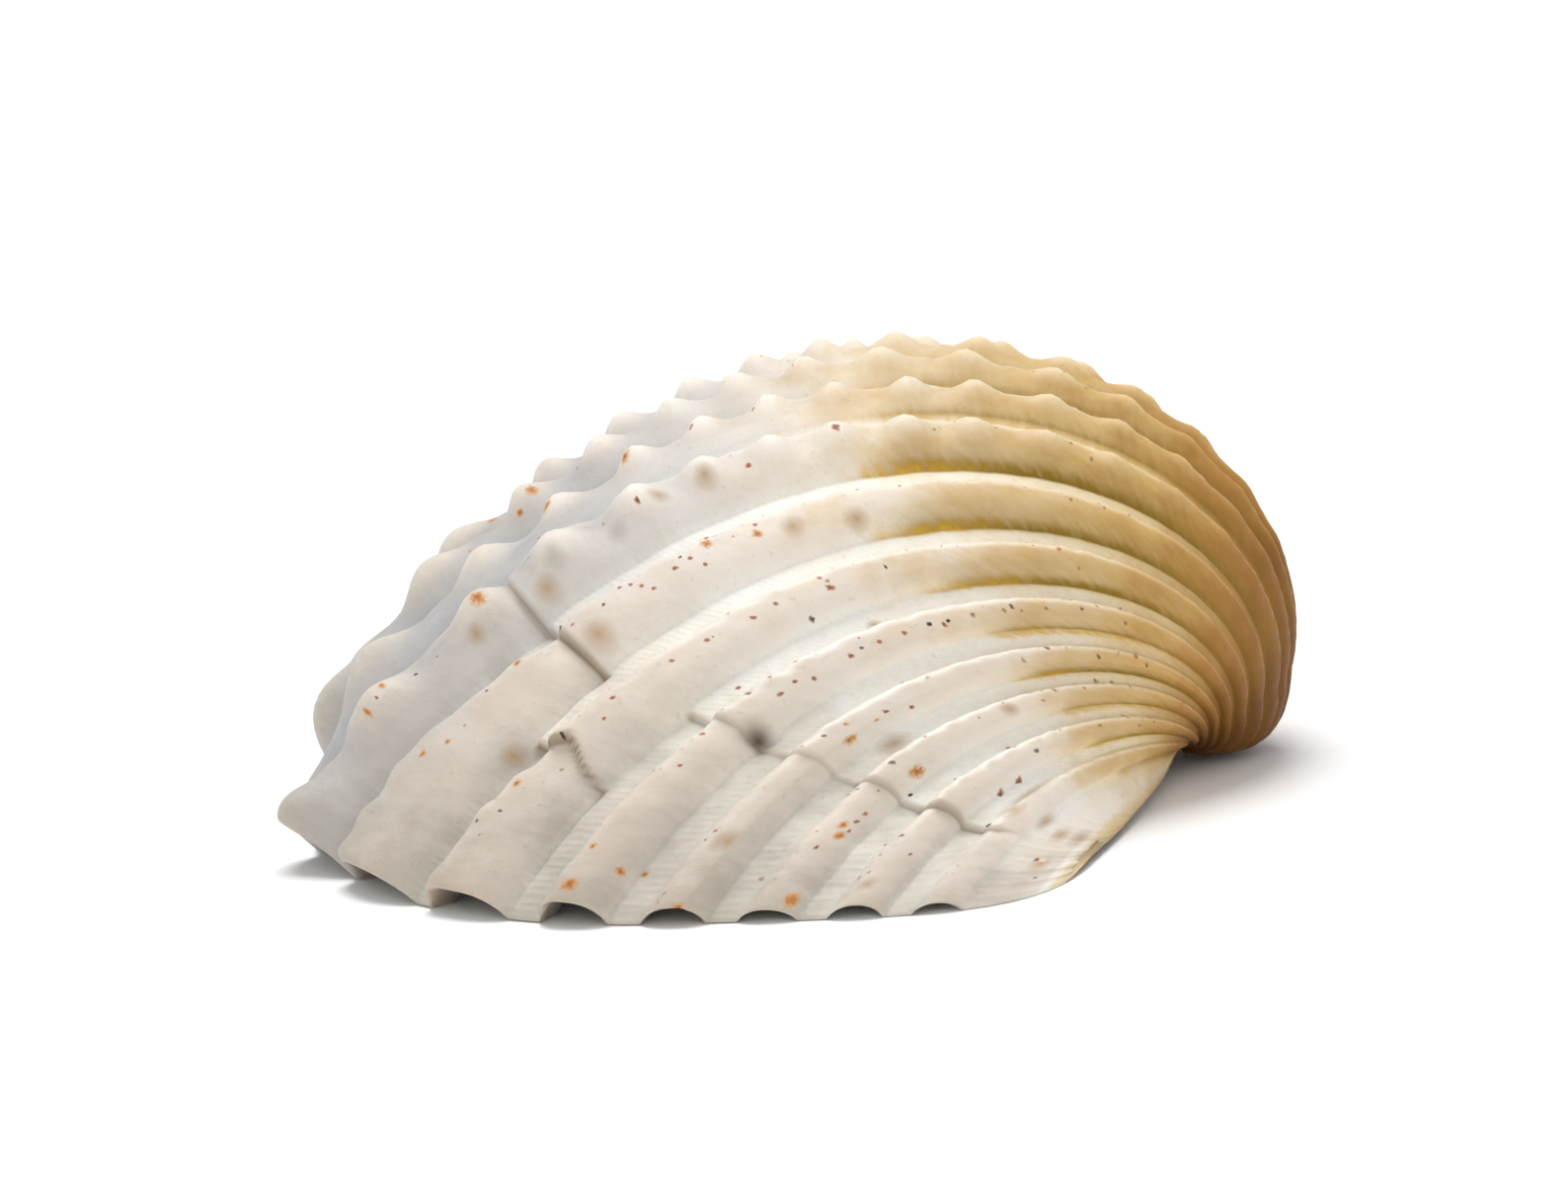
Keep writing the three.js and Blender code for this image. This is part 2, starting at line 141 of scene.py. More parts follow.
# Knobs, in rows that follow the growth lines
KNOB_TURNS = [0, 0.18, 0.34, 0.45, 0.57, 0.67, 0.77, 0.87, 0.99, 1.11, 1.26, 1.42, 1.6, 1.8, 2.02, 2.26, 2.5]
KNOB_RELIEF = 1.05
KNOB_FULL_PITCH = 7
KNOB_ACROSS = 0.6
KNOB_HALF_WIDTH = 0.27
KNOB_PEAK_POWER = 1.5
KNOB_FADE_TURNS = (1.1, 2.4)
FIRST_KNOBBED_RIB = 6
FIRST_KNOBBED_STRENGTH = 0.16
FIRST_STAGGERED_RIB = 9
KNOB_STAGGER = 0.55
STAGGER_FADE_TURNS = (0.8, 1.3)
EDGE_ACROSS = 0.86
EDGE_HALF_WIDTH = 0.1

# Bulb on the tip of a single front rib
BULB_RIB = 7
BULB_TURN = 0.05
BULB_TURN_RADIUS = 0.035
BULB_ACROSS = 0.55
BULB_HALF_WIDTH = 0.3
BULB_RELIEF = 0.7

# Growth ledge: its turn and depth from rib to rib, with a later one across a single rib
LEDGE_TURN = 0.4
LEDGE_TURNS = {6: 0.383, 7: 0.38}
LEDGE_SHARES = {0: 0.8, 1: 0.8, 2: 0.5, 3: 0.3, 4: 0.35, 5: 1.2, 6: 1.1, 7: 0.6}
LATE_LEDGE_RIB = 5
LATE_LEDGE_PLACES = [27.2, 28.0, 28.65, 29.5, 30.5]
LATE_LEDGE_TURNS = [0.252, 0.268, 0.26, 0.24, 0.228]
LEDGE_DROP = 0.5
LEDGE_FADE = 0.13
LEDGE_REAR_END = 48
LEDGE_FRONT_END = 11
LEDGE_END_FADE = 3
LEDGE_LIP = 0.005
LATE_LEDGE_LIP = 0.01

# Wall, hinge plate and hollow
MARGIN_WALL = 1.4
HINGE_PLATE = 3.2
HINGE_RISE = 0.6
PLATE_RISE = 0.8
HOLLOW_COIL_RATE = 0.68
RISE_TURN = 0.4
HOLLOW_TOP_TURN = 1.66
HOLLOW_CLOSING_TURNS = [0, 1.1, 1.35, 1.55, HOLLOW_TOP_TURN]
HOLLOW_CLOSING_SHARES = [1, 1, 0.95, 0.8, 0.5]
INNER_SOFTENING = (-5, -3, -1, 1, 3, 5)

# Teeth of the hinge
TOOTH_PITCH = 1.6
TOOTH_THICKNESS = 0.6
TOOTH_LENGTH = 2.1
TOOTH_TIP_Z = 0.12
TOOTH_ROOT_Z = 1.4
TOOTH_SPLAY = math.radians(22)
TOOTH_SQUARENESS = 0.5
REAR_TOOTH = 60.7
FRONT_TOOTH = -55.5

# Pit in the groove floor
PIT_TURN = 0.405
PIT_PLACE = 34.45
PIT_TURN_RADIUS = 0.02
PIT_PLACE_RADIUS = 0.55
PIT_DEPTH = 0.5

# Fine relief: uneven growth, ripples along it and beads on the crest edges, each with the seed of its
# waves and their scales along the turn and the place
UNEVEN_RELIEF = 0.05
UNEVEN_WAVES = (3, 16, 0.9)
GROWTH_RELIEF = 0.035
GROWTH_WAVES = (5, 90, 0.12)
BEAD_RELIEF = 0.12
BEAD_WAVES = (8, 120, 3.0)
WAVE_COUNT = 14

# Grid of the skin
COLUMNS_ON_RIB = 14
COLUMNS_ON_FLOOR = 6
HINGE_COLUMNS = 50
OUTER_ROWS = 190
CLOSER_ROWS = [(LEDGE_TURN - 0.008, 0.025, 1.8), (0.245, 0.03, 0.7), (0.0, 0.03, 1.0)]
INNER_ROWS = 36
INNER_ROW_POWER = 1.3
TOOTH_RINGS = 9
TOOTH_SEGMENTS = 14

# Stains, as place, turn, half width and half height in millimetres, by colour
STAINS = {
    "orange": [
        (27.63, 0.178, 0.2, 0.18), (33.1, 0.037, 0.36, 0.3), (34.35, 0.083, 0.2, 0.16),
        (37.3, 0.006, 0.25, 0.25), (41.4, 0.04, 0.3, 0.3), (41.42, 0.467, 0.28, 0.26),
        (37.67, 0.468, 0.28, 0.25), (22, 0.162, 0.2, 0.18), (22.75, 0.188, 0.16, 0.14),
        (22, 0.316, 0.22, 0.2), (23.5, 0.684, 0.25, 0.2), (9.33, 0.438, 0.34, 0.25),
        (9.4, 0.559, 0.42, 0.26), (16.8, 0.339, 0.42, 0.3), (1.75, 0.405, 0.36, 0.25),
        (2.5, 0.38, 0.2, 0.18), (41.2, 0.228, 0.24, 0.2), (40.97, 0.26, 0.2, 0.2),
        (22.67, 0.612, 0.34, 0.2), (-6.5, 0.3, 0.3, 0.2), (17.15, 0.165, 0.3, 0.12),
        (16.67, 0.196, 0.28, 0.12), (35, 0.099, 0.16, 0.14), (32.9, 0.11, 0.14, 0.14),
    ],
    "rust": [
        (50.36, 0.171, 0.22, 0.3), (50.09, 0.194, 0.18, 0.25), (49.6, 0.289, 0.3, 0.2),
        (45.1, 0.56, 0.22, 0.2), (45.1, 0.648, 0.2, 0.2), (44.45, 0.206, 0.14, 0.14),
        (40.8, 0.182, 0.16, 0.14), (41.35, 0.25, 0.14, 0.14), (41.27, 0.282, 0.18, 0.14),
        (37.26, 0.575, 0.2, 0.16), (37.9, 0.63, 0.18, 0.14), (36.6, 0.184, 0.16, 0.14),
        (32.7, 0.356, 0.2, 0.16), (33.27, 0.285, 0.16, 0.14), (33.5, 0.49, 0.16, 0.2),
        (33.35, 0.528, 0.16, 0.14), (33.7, 0.556, 0.18, 0.14), (33.5, 0.644, 0.2, 0.16),
        (33.4, 0.712, 0.18, 0.16), (33.4, 0.77, 0.2, 0.16), (33.55, 0.862, 0.2, 0.16),
        (28.8, 0.308, 0.16, 0.14), (28.3, 0.34, 0.18, 0.2), (28.6, 0.438, 0.18, 0.16),
        (28.67, 0.5, 0.2, 0.18), (28.85, 0.58, 0.2, 0.16), (28.67, 0.626, 0.2, 0.16),
        (29, 0.722, 0.3, 0.22), (31.3, 0.479, 0.18, 0.16), (23.3, 0.578, 0.2, 0.15),
        (22.2, 0.617, 0.24, 0.14), (23.4, 0.552, 0.2, 0.16), (23.75, 0.51, 0.18, 0.16),
        (23.2, 0.5, 0.2, 0.15), (22.75, 0.49, 0.18, 0.14), (24, 0.59, 0.18, 0.14),
        (22.8, 0.69, 0.2, 0.14), (17.3, 0.568, 0.26, 0.18), (17.25, 0.729, 0.26, 0.18),
        (16.75, 0.872, 0.3, 0.24), (9.5, 0.658, 0.24, 0.18), (9.4, 0.748, 0.22, 0.16),
        (17.1, 0.183, 0.16, 0.1), (41.42, 0.48, 0.12, 0.1),
    ],
    "dark": [
        (49.79, 0.225, 0.13, 0.16), (50.26, 0.241, 0.12, 0.16), (50.9, 0.644, 0.14, 0.2),
        (46.1, 0.412, 0.16, 0.14), (42.03, 0.419, 0.18, 0.14), (37.67, 0.474, 0.12, 0.12),
        (33.3, 0.832, 0.2, 0.18), (30.17, 0.66, 0.2, 0.2), (28.75, 0.836, 0.2, 0.1),
        (23.08, 0.443, 0.2, 0.15), (22.9, 0.568, 0.16, 0.14), (16.8, 0.229, 0.17, 0.14),
        (16.8, 0.26, 0.13, 0.11), (28.67, 0.51, 0.1, 0.1), (27.8, 0.262, 0.2, 0.12),
        (33.4, 0.875, 0.18, 0.14),
    ],
    "soft brown": [
        (51, 0.48, 0.5, 0.4), (50, 0.258, 0.4, 0.3), (49.6, 0.475, 0.35, 0.3), (24.25, 0.409, 0.62, 0.4),
        (46.2, 0.62, 0.2, 0.6), (39.08, 0.54, 0.35, 0.4), (18.33, 0.41, 0.5, 0.35),
        (25.33, 0.219, 0.3, 0.35), (43.85, 0.086, 0.25, 0.2), (37.2, 0.162, 0.3, 0.3),
        (24.4, 0.845, 0.4, 0.3), (17.4, 0.665, 0.4, 0.3), (23.8, 0.74, 0.4, 0.3),
        (17.1, 0.597, 0.3, 0.25), (40.67, 0.819, 0.3, 0.2), (48.2, 0.525, 0.25, 0.3),
        (46.4, 0.5, 0.3, 0.25), (17.8, 0.31, 0.35, 0.25), (31.7, 0.756, 0.2, 0.2),
    ],
    "soft grey": [
        (17.5, 0.44, 0.45, 0.35), (17.67, 0.525, 0.5, 0.3), (19.6, 0.3, 0.5, 0.5), (12, 0.2, 0.5, 0.4),
    ],
}
# Colour, strength, size share and softness of each kind of stain
STAIN_KINDS = {
    "orange": ((0.8, 0.54, 0.2), 0.85, 1.0, 0.35), "rust": ((0.62, 0.34, 0.14), 0.85, 0.6, 0.2),
    "dark": ((0.22, 0.12, 0.09), 0.9, 0.5, 0.1), "soft brown": ((0.66, 0.52, 0.35), 0.75, 1.4, 1.0),
    "soft grey": ((0.62, 0.6, 0.57), 0.55, 1.3, 1.0), "speck": ((0.5, 0.38, 0.26), 0.7, 1.0, 0.3),
}
SPECK_KINDS = ["orange", "rust", "dark", "speck", "speck"]
SPECK_COUNT = 340
SPECK_SEED = 4

# Colour of the outside with growing turn, on the rib faces and on the pale floors and crests. The faces are
# darker than the floors and crests partly by their own colour and partly by painted shade on their lower
# side, and the first stops, near the margin, are darker by painted shade beneath the shell
FACE_AND_PAINTED_SHADE_AGES = [
    (0.0, (0.72, 0.675, 0.62)), (0.12, (0.77, 0.73, 0.68)), (0.35, (0.83, 0.785, 0.73)),
    (0.6, (0.87, 0.83, 0.78)),
    (0.85, (0.88, 0.83, 0.76)), (1.0, (0.85, 0.77, 0.64)), (1.2, (0.82, 0.71, 0.52)),
    (1.5, (0.78, 0.64, 0.38)),
    (1.9, (0.66, 0.47, 0.2)), (2.3, (0.55, 0.37, 0.1)), (2.9, (0.42, 0.25, 0.06)),
]
PALE_AND_PAINTED_LIGHT_AGES = [
    (0.0, (0.72, 0.7, 0.65)), (0.12, (0.78, 0.75, 0.71)), (0.35, (0.88, 0.86, 0.81)),
    (0.6, (0.95, 0.94, 0.91)),
    (0.9, (0.95, 0.93, 0.89)), (1.1, (0.95, 0.91, 0.83)), (1.5, (0.94, 0.86, 0.7)),
    (1.9, (0.84, 0.7, 0.43)),
    (2.3, (0.66, 0.48, 0.2)), (2.9, (0.46, 0.3, 0.08)),
]
OLDEST_AGE = 3.0

# How far ahead in age each part across a rib is, and each rib, and where the bare rear field browns
AHEAD_ACROSS = [0, 0.15, 0.45, 0.8, 1.0, 1.2]
AHEAD_TURNS = [0.24, 0.18, 0.04, -0.08, -0.08, 0]
FLOOR_ACROSS = 1.2
FIELD_ACROSS = 0.9
AHEAD_FADE_TURNS = (0.7, 1.1)
EARLY_RIBS = [0, 3, 5, 7, 9]
EARLY_TURNS = [0.12, 0.0, 0.0, 0.06, 0.14]
EARLY_FADE_TURNS = (0.5, 1.0)
REAR_FIELD_PLACES = (48.5, 51)
REAR_FIELD_AGE = 1.0
REAR_CORNER_PLACES = (50.3, 52.8)
REAR_CORNER_AGE = 1.3

# How strongly the foot of each rib is stained olive, and the turn where that starts
STAINED_RIBS = [-1, 0, 1, 4, 5, 7, 8, 11]
STAINED_SHARES = [0, 0.5, 0.9, 1, 1, 1, 0.75, 0.5]
STAIN_START_RIBS = [0, 2, 4, 6, 8]
STAIN_START_TURNS = [1.1, 1.02, 0.98, 0.92, 0.95]
OLIVE = (0.56, 0.44, 0.08)
# bluish-grey painted shade for the valleys between the front knobs
COOL_SHADE = (0.62, 0.64, 0.67)
GOLD = (0.85, 0.68, 0.24)
# painted shadow under the lips of the growth ledges
LEDGE_SHADOW = (0.5, 0.4, 0.27)
BLUSH = (0.93, 0.87, 0.82)
PIT_BROWN = (0.36, 0.29, 0.21)
HINGE_TAN = (0.66, 0.52, 0.34)
CHEVRON_BROWN = (0.3, 0.2, 0.12)
PORCELAIN = (0.93, 0.91, 0.87)
SCAR = (0.84, 0.78, 0.69)
STAIN_CORE = (0.62, 0.42, 0.24)

# Chevrons of the hinge area: how fast they follow the turn and the distance from its middle
CHEVRON_RATE = 14.0
CHEVRON_SLANT = 0.16

# Scales of the noises over space, per metre, and along the growth, per millimetre
BROAD_SCALE = 350
FINE_SCALE = 2600
GRAIN_SCALE = 7000
GROWTH_SCALE = 2.2
THIN_GROWTH_SCALE = 7

# Finish
THREAD_PITCH = 0.27
BUMP_STRENGTH = 0.6
BUMP_HEIGHT = 0.09 * MM
INSIDE_ROUGHNESS = 0.28
SPECULAR_LEVEL = 0.35
SUBSURFACE_WEIGHT = 0.35
SUBSURFACE_RADIUS = (1.0, 0.6, 0.35)
SUBSURFACE_SCALE = 0.7 * MM

# Inside: line of the mantle and the two muscle scars, as place, turn and half sizes
PALLIAL_TURN = 0.3
PALLIAL_HALF_WIDTH = 0.012
SCARS = [(53, 0.42, 4.5, 0.2), (-47, 0.42, 4.0, 0.18)]


def smoothstep(x, low, high):
    t = np.clip((x - low) / (high - low), 0.0, 1.0)
    return t * t * (3 - 2 * t)


def bell(x, middle, half_width):
    """A smooth bump that is 1 at the middle."""
    return np.exp(-((x - middle) / half_width) ** 2)


def signed_power(value, power):
    return np.sign(value) * np.abs(value) ** power


def outline(bearing):
    """Points of the margin's outline for an array of bearings: 0 ventral, PI the hinge."""
    c, s = np.cos(bearing), np.sin(bearing)
    hinge_power = 2 / np.where(s > 0, REAR_HINGE_SQUARENESS, FRONT_HINGE_SQUARENESS)
    power = np.where(c > 0, 2 / VENTRAL_SQUARENESS, hinge_power)
    reach_x = np.where(c > 0, VENTRAL_REACH, DORSAL_REACH)
    reach_y = np.where(s > 0, REAR_REACH, FRONT_REACH)
    y = -reach_y * signed_power(s, power)
    x = OUTLINE_MIDDLE_X - reach_x * signed_power(c, power) + OBLIQUITY * y
    return np.stack([x, y, np.zeros_like(x)], -1)


TABLE_BEARING = np.linspace(-math.pi, math.pi, 8001)
TABLE_STEPS = np.linalg.norm(np.diff(outline(TABLE_BEARING), axis=0), axis=1)
TABLE_PLACE = np.concatenate([[0.0], np.cumsum(TABLE_STEPS)])
TABLE_PLACE -= TABLE_PLACE[len(TABLE_PLACE) // 2]
FRONT_END_PLACE, REAR_END_PLACE = TABLE_PLACE[0], TABLE_PLACE[-1]
PERIMETER = REAR_END_PLACE - FRONT_END_PLACE


def wrapped(place):
    """The same places, counted once round the margin."""
    return (place - FRONT_END_PLACE) % PERIMETER + FRONT_END_PLACE


def bearing_at(place):
    return np.interp(wrapped(place), TABLE_PLACE, TABLE_BEARING)


def outward_at(bearing):
    """Level directions out of the margin."""
    d = 0.001
    along = outline(bearing + d) - outline(bearing - d)
    along /= np.linalg.norm(along, axis=-1, keepdims=True)
    return np.stack([along[..., 1], -along[..., 0], np.zeros_like(along[..., 0])], -1)


def hinge_weight(place):
    """1 on the hinge side of the outline, 0 on the open side."""
    return smoothstep(-np.cos(bearing_at(place)), *HINGE_BEARING)


def reach_at(place):
    """How far the margin lies from the hinge axis."""
    return np.maximum(-outline(bearing_at(place))[..., 0], LEAST_REACH)


def coil_size(turn, rate=COIL_RATE):
    return np.exp(-(rate * turn + COIL_RATE_GAIN * np.minimum(turn, GAIN_END) ** 2))


def front_inset(turn, place):
    """How far the skin lies inside the plain outline, towards the front."""
    place = wrapped(place)
    loss = SHOULDER_LOSS * smoothstep(turn, *SHOULDER_LOSS_TURNS)
    saddle = SADDLE_INSET * np.exp(-((turn - SADDLE_TURN) / SADDLE_WIDTH) ** 2)
    shoulder = (SHOULDER_INSET * (1 - loss) + saddle) * smoothstep(-place, *SHOULDER_PLACES)
    bend = MARGIN_BEND * smoothstep(-place, *BEND_PLACES) * np.maximum(1 - turn / BEND_TURN, 0) ** 2
    return (shoulder + bend) * (1 - hinge_weight(place))


def coil(point, turn, rate):
    """Turns points of the flat outline about the pole and shrinks them."""
    size = coil_size(turn, rate)
    v = (point - POLE) * size[..., None]
    c, s = np.cos(turn)[..., None], np.sin(turn)[..., None]
    turned = v * c + np.cross(np.broadcast_to(COIL_AXIS, v.shape), v) * s
    turned = turned + COIL_AXIS * (v @ COIL_AXIS)[..., None] * (1 - c) + POLE
    turned[..., 2] += POLE_LIFT * (1 - size) ** 2
    return turned


def skin(turn, place):
    """The smooth coiled surface that carries the ribs."""
    bearing = bearing_at(place)
    drift = RIB_DRIFT * turn * np.maximum(np.cos(bearing), 0) ** 2
    edge = outline(bearing - drift) - outward_at(bearing) * front_inset(turn, place)[..., None]
    return coil(edge, turn, COIL_RATE)


def skin_normal(turn, place):
    d = 0.01
    along = skin(turn, place + d) - skin(turn, place - d)
    up = skin(turn + d, place) - skin(turn - d, place)
    n = np.cross(along, up)
    return n / np.linalg.norm(n, axis=-1, keepdims=True)


def pitch_near(place):
    return NARROW_PITCH + PITCH_GAIN / (1 + (place / PITCH_REACH) ** PITCH_POWER)


def rib_edges():
    edges = [FIRST_RIB_EDGE]
    for _ in range(RIB_COUNT):
        edge = edges[-1]
        edges.append(edge - pitch_near(edge - pitch_near(edge) / 2))
    return np.array(edges)


EDGES = rib_edges()
PITCHES = EDGES[:-1] - EDGES[1:]
RIB_STRENGTH = np.clip((RIB_COUNT - np.arange(RIB_COUNT)) / FADING_RIBS, LAST_RIB_STRENGTH, 1)
RIB_STRENGTH[0] = FIRST_RIB_STRENGTH
RIB_WIDENING = np.array([WIDENED_RIBS.get(k, 0.0) for k in range(RIB_COUNT)])


def rib_width(turn, k):
    widened = RIB_WIDENING[k] * smoothstep(-turn, -WIDENED_TURN, -WIDEST_TURN)
    return PITCHES[k] * RIB_SHARE + widened


def rib_at(turn, place):
    """Rib number (-1 beside the ribs) and share across it from its rear edge."""
    k = np.searchsorted(-EDGES, -place, side="right") - 1
    on_rib = (k >= 0) & (k < RIB_COUNT)
    safe = np.clip(k, 0, RIB_COUNT - 1)
    across = (EDGES[safe] - place) / rib_width(turn, safe)
    return np.where(on_rib, k, -1), np.where(on_rib, across, -1.0)


def softness(turn, k):
    """How soft a rib is near the margin: 1 on the rear ribs, 0 on the others."""
    older = smoothstep(turn, SOFT_RIB_TURN - SOFT_RIB_FADE, SOFT_RIB_TURN + FIRM_PROFILE_FADE)
    return np.interp(k, [HALF_SOFT_RIB, FIRM_RIB], [1, 0]) * (1 - older)


def rib_profile(across, soft=0.0):
    """Round rear flank, rising top and square front edge."""
    off_middle = np.minimum(np.abs(2 * across - 1), 1)
    powers = zip(FRONT_FLANK_POWERS, SOFT_FLANK_POWERS)
    inner, outer = [firm + (softer - firm) * soft for firm, softer in powers]
    rear = (1 - off_middle ** REAR_FLANK_POWERS[0]) ** REAR_FLANK_POWERS[1]
    front = (1 - off_middle ** inner) ** outer
    return np.where(across < 0.5, rear, front) * (CREST_RISE[0] + CREST_RISE[1] * np.clip(across, 0, 1))


def rib_relief(turn, k):
    """Height of a rib over the skin, before it shrinks with the coil."""
    soft = np.where(k <= SOFT_RIB, SOFT_RIB_SHARE, np.where(k == HALF_SOFT_RIB, HALF_SOFT_RIB_SHARE, 1.0))
    late = 1 - smoothstep(turn, SOFT_RIB_TURN - SOFT_RIB_FADE, SOFT_RIB_TURN + SOFT_RIB_FADE)
    return RIB_STRENGTH[k] * (RIB_BASE_RELIEF + RIB_RELIEF_PER_PITCH * PITCHES[k]) * (1 + (soft - 1) * late)


def knob_height(turn, k, across):
    """Share of a knob's full height: 1 on the crown of a large knob, 0 between the knobs."""
    stagger = KNOB_STAGGER * (1 - smoothstep(turn, *STAGGER_FADE_TURNS)) * (k >= FIRST_STAGGERED_RIB)
    phase = np.interp(turn, KNOB_TURNS, np.arange(len(KNOB_TURNS))) + stagger
    wave = (0.5 + 0.5 * np.cos(2 * math.pi * phase)) ** KNOB_PEAK_POWER
    first = np.where(k == FIRST_KNOBBED_RIB, FIRST_KNOBBED_STRENGTH, 1.0)
    strength = np.where(k >= FIRST_KNOBBED_RIB, first, 0.0) * np.minimum(PITCHES[k] / KNOB_FULL_PITCH, 1) ** 2
    crown = bell(across, KNOB_ACROSS, KNOB_HALF_WIDTH)
    return strength * wave * crown * (1 - smoothstep(turn, *KNOB_FADE_TURNS))


def ledge_turn(k, place):
    """Turn at which the ledge crosses each rib."""
    turn = np.full(place.shape, LEDGE_TURN)
    for rib, value in LEDGE_TURNS.items():
        turn = np.where(k == rib, value, turn)
    late = np.interp(place, LATE_LEDGE_PLACES, LATE_LEDGE_TURNS)
    return np.where(k == LATE_LEDGE_RIB, late, turn)


def ledge_share(place):
    """Depth of the ledge along the margin, as a share of its full drop."""
    ribs = list(LEDGE_SHARES)
    middles = [EDGES[k] - 0.4 * PITCHES[k] for k in ribs]
    return np.interp(-place, [-m for m in middles], list(LEDGE_SHARES.values()))


def ledge_drop(turn, place, k):
    """How far the part below a ledge lies deeper, and a mask of the line under its lip that gets painted
    shadow.
    """
    rear = smoothstep(LEDGE_REAR_END - place, 0, LEDGE_END_FADE)
    front = smoothstep(place - LEDGE_FRONT_END, 0, LEDGE_END_FADE)
    below = turn - ledge_turn(k, place)
    share = ledge_share(place) * rear * front
    drop = LEDGE_DROP * share * smoothstep(turn, 0, 0.1) * np.exp(np.minimum(below, 0) / LEDGE_FADE)
    # band just under the ledge's lip, where painted shadow goes
    line = share * bell(below, -LEDGE_LIP, LEDGE_LIP)
    lower_lip = -np.where(k == LATE_LEDGE_RIB, LATE_LEDGE_LIP, LEDGE_LIP)
    return drop * (1 - smoothstep(below, lower_lip, 0.001)), line


def waves(turn, place, seed, turn_scale, place_scale):
    """A smooth seeded undulation between about -1 and 1 over the shell's own coordinates."""
    rng = np.random.RandomState(seed)
    total = np.zeros_like(turn)
    for _ in range(WAVE_COUNT):
        along, across, phase = rng.uniform(0.3, 1), rng.uniform(-1, 1), rng.uniform(0, 2 * math.pi)
        total += np.sin(along * turn_scale * turn + across * place_scale * place + phase)
    return total / math.sqrt(WAVE_COUNT)


def outside(turn, place):
    """Outer surface and its masks, for arrays of turns and places."""
    k, across = rib_at(turn, place)
    safe = np.clip(k, 0, RIB_COUNT - 1)
    on_rib = (k >= 0) & (across < 1)
    profile = np.where(on_rib, rib_profile(across, softness(turn, safe)), 0.0)
    knob = np.where(on_rib, knob_height(turn, safe, across), 0.0)
    edge = np.where(on_rib, bell(across, EDGE_ACROSS, EDGE_HALF_WIDTH), 0.0)
    size = coil_size(turn)
    open_side = 1 - hinge_weight(place)
    bulb = bell(turn, BULB_TURN, BULB_TURN_RADIUS) * bell(across, BULB_ACROSS, BULB_HALF_WIDTH)
    bulb = np.where(on_rib & (k == BULB_RIB), BULB_RELIEF * bulb, 0.0)
    uneven = UNEVEN_RELIEF * waves(turn, place, *UNEVEN_WAVES) * profile
    ripples = GROWTH_RELIEF * waves(turn, place, *GROWTH_WAVES) * open_side
    beads = BEAD_RELIEF * waves(turn, place, *BEAD_WAVES) * edge * (1 - softness(turn, safe))
    raised = (rib_relief(turn, safe) * profile + KNOB_RELIEF * knob) * size ** RELIEF_FADE
    raised += (uneven + ripples + beads) * size + bulb
    arch_share = REAR_ARCH_SHARE + (1 - REAR_ARCH_SHARE) * smoothstep(safe, LOW_ARCH_RIB, FULL_ARCH_RIB)
    arch = ARCH_LIFT * arch_share * profile
    on_skin = turn + arch / reach_at(place) * np.maximum(1 - turn / FURROW_TURN, 0)
    drop, line = ledge_drop(turn, place, k)
    pit = bell(turn, PIT_TURN, PIT_TURN_RADIUS) * bell(place, PIT_PLACE, PIT_PLACE_RADIUS)
    height = raised - drop - PIT_DEPTH * pit
    normal = skin_normal(on_skin, place)
    normal[..., 2] = np.where(turn < BEND_TURN, np.maximum(normal[..., 2], 0), normal[..., 2])
    point = skin(on_skin, place) + normal * height[..., None]
    towards_front = smoothstep(-place, *FRONT_LIP_PLACES)
    below_lip = np.maximum(1 - turn / (LIP_TURN + (FRONT_LIP_TURN - LIP_TURN) * towards_front), 0)
    lip_radius = LIP_RADIUS + (FRONT_LIP_RADIUS - LIP_RADIUS) * towards_front
    lip = lip_radius * (1 - np.sqrt(1 - below_lip ** 2)) * open_side
    point = point - outward_at(bearing_at(place)) * lip[..., None]
    point[..., 2] += HINGE_RISE * hinge_weight(place) * np.maximum(1 - turn / RISE_TURN, 0)
    over = (point[..., 2] - BEAK_CLEARANCE) / BEAK_SOFTNESS
    lifted = BEAK_CLEARANCE + BEAK_SOFTNESS * np.logaddexp(0, over)
    point[..., 2] += (lifted - point[..., 2]) * smoothstep(turn, *BEAK_LIFT_TURNS)
    masks = {"rib": profile, "knob": knob, "edge": edge, "line": line, "pit": pit}
    return point, masks


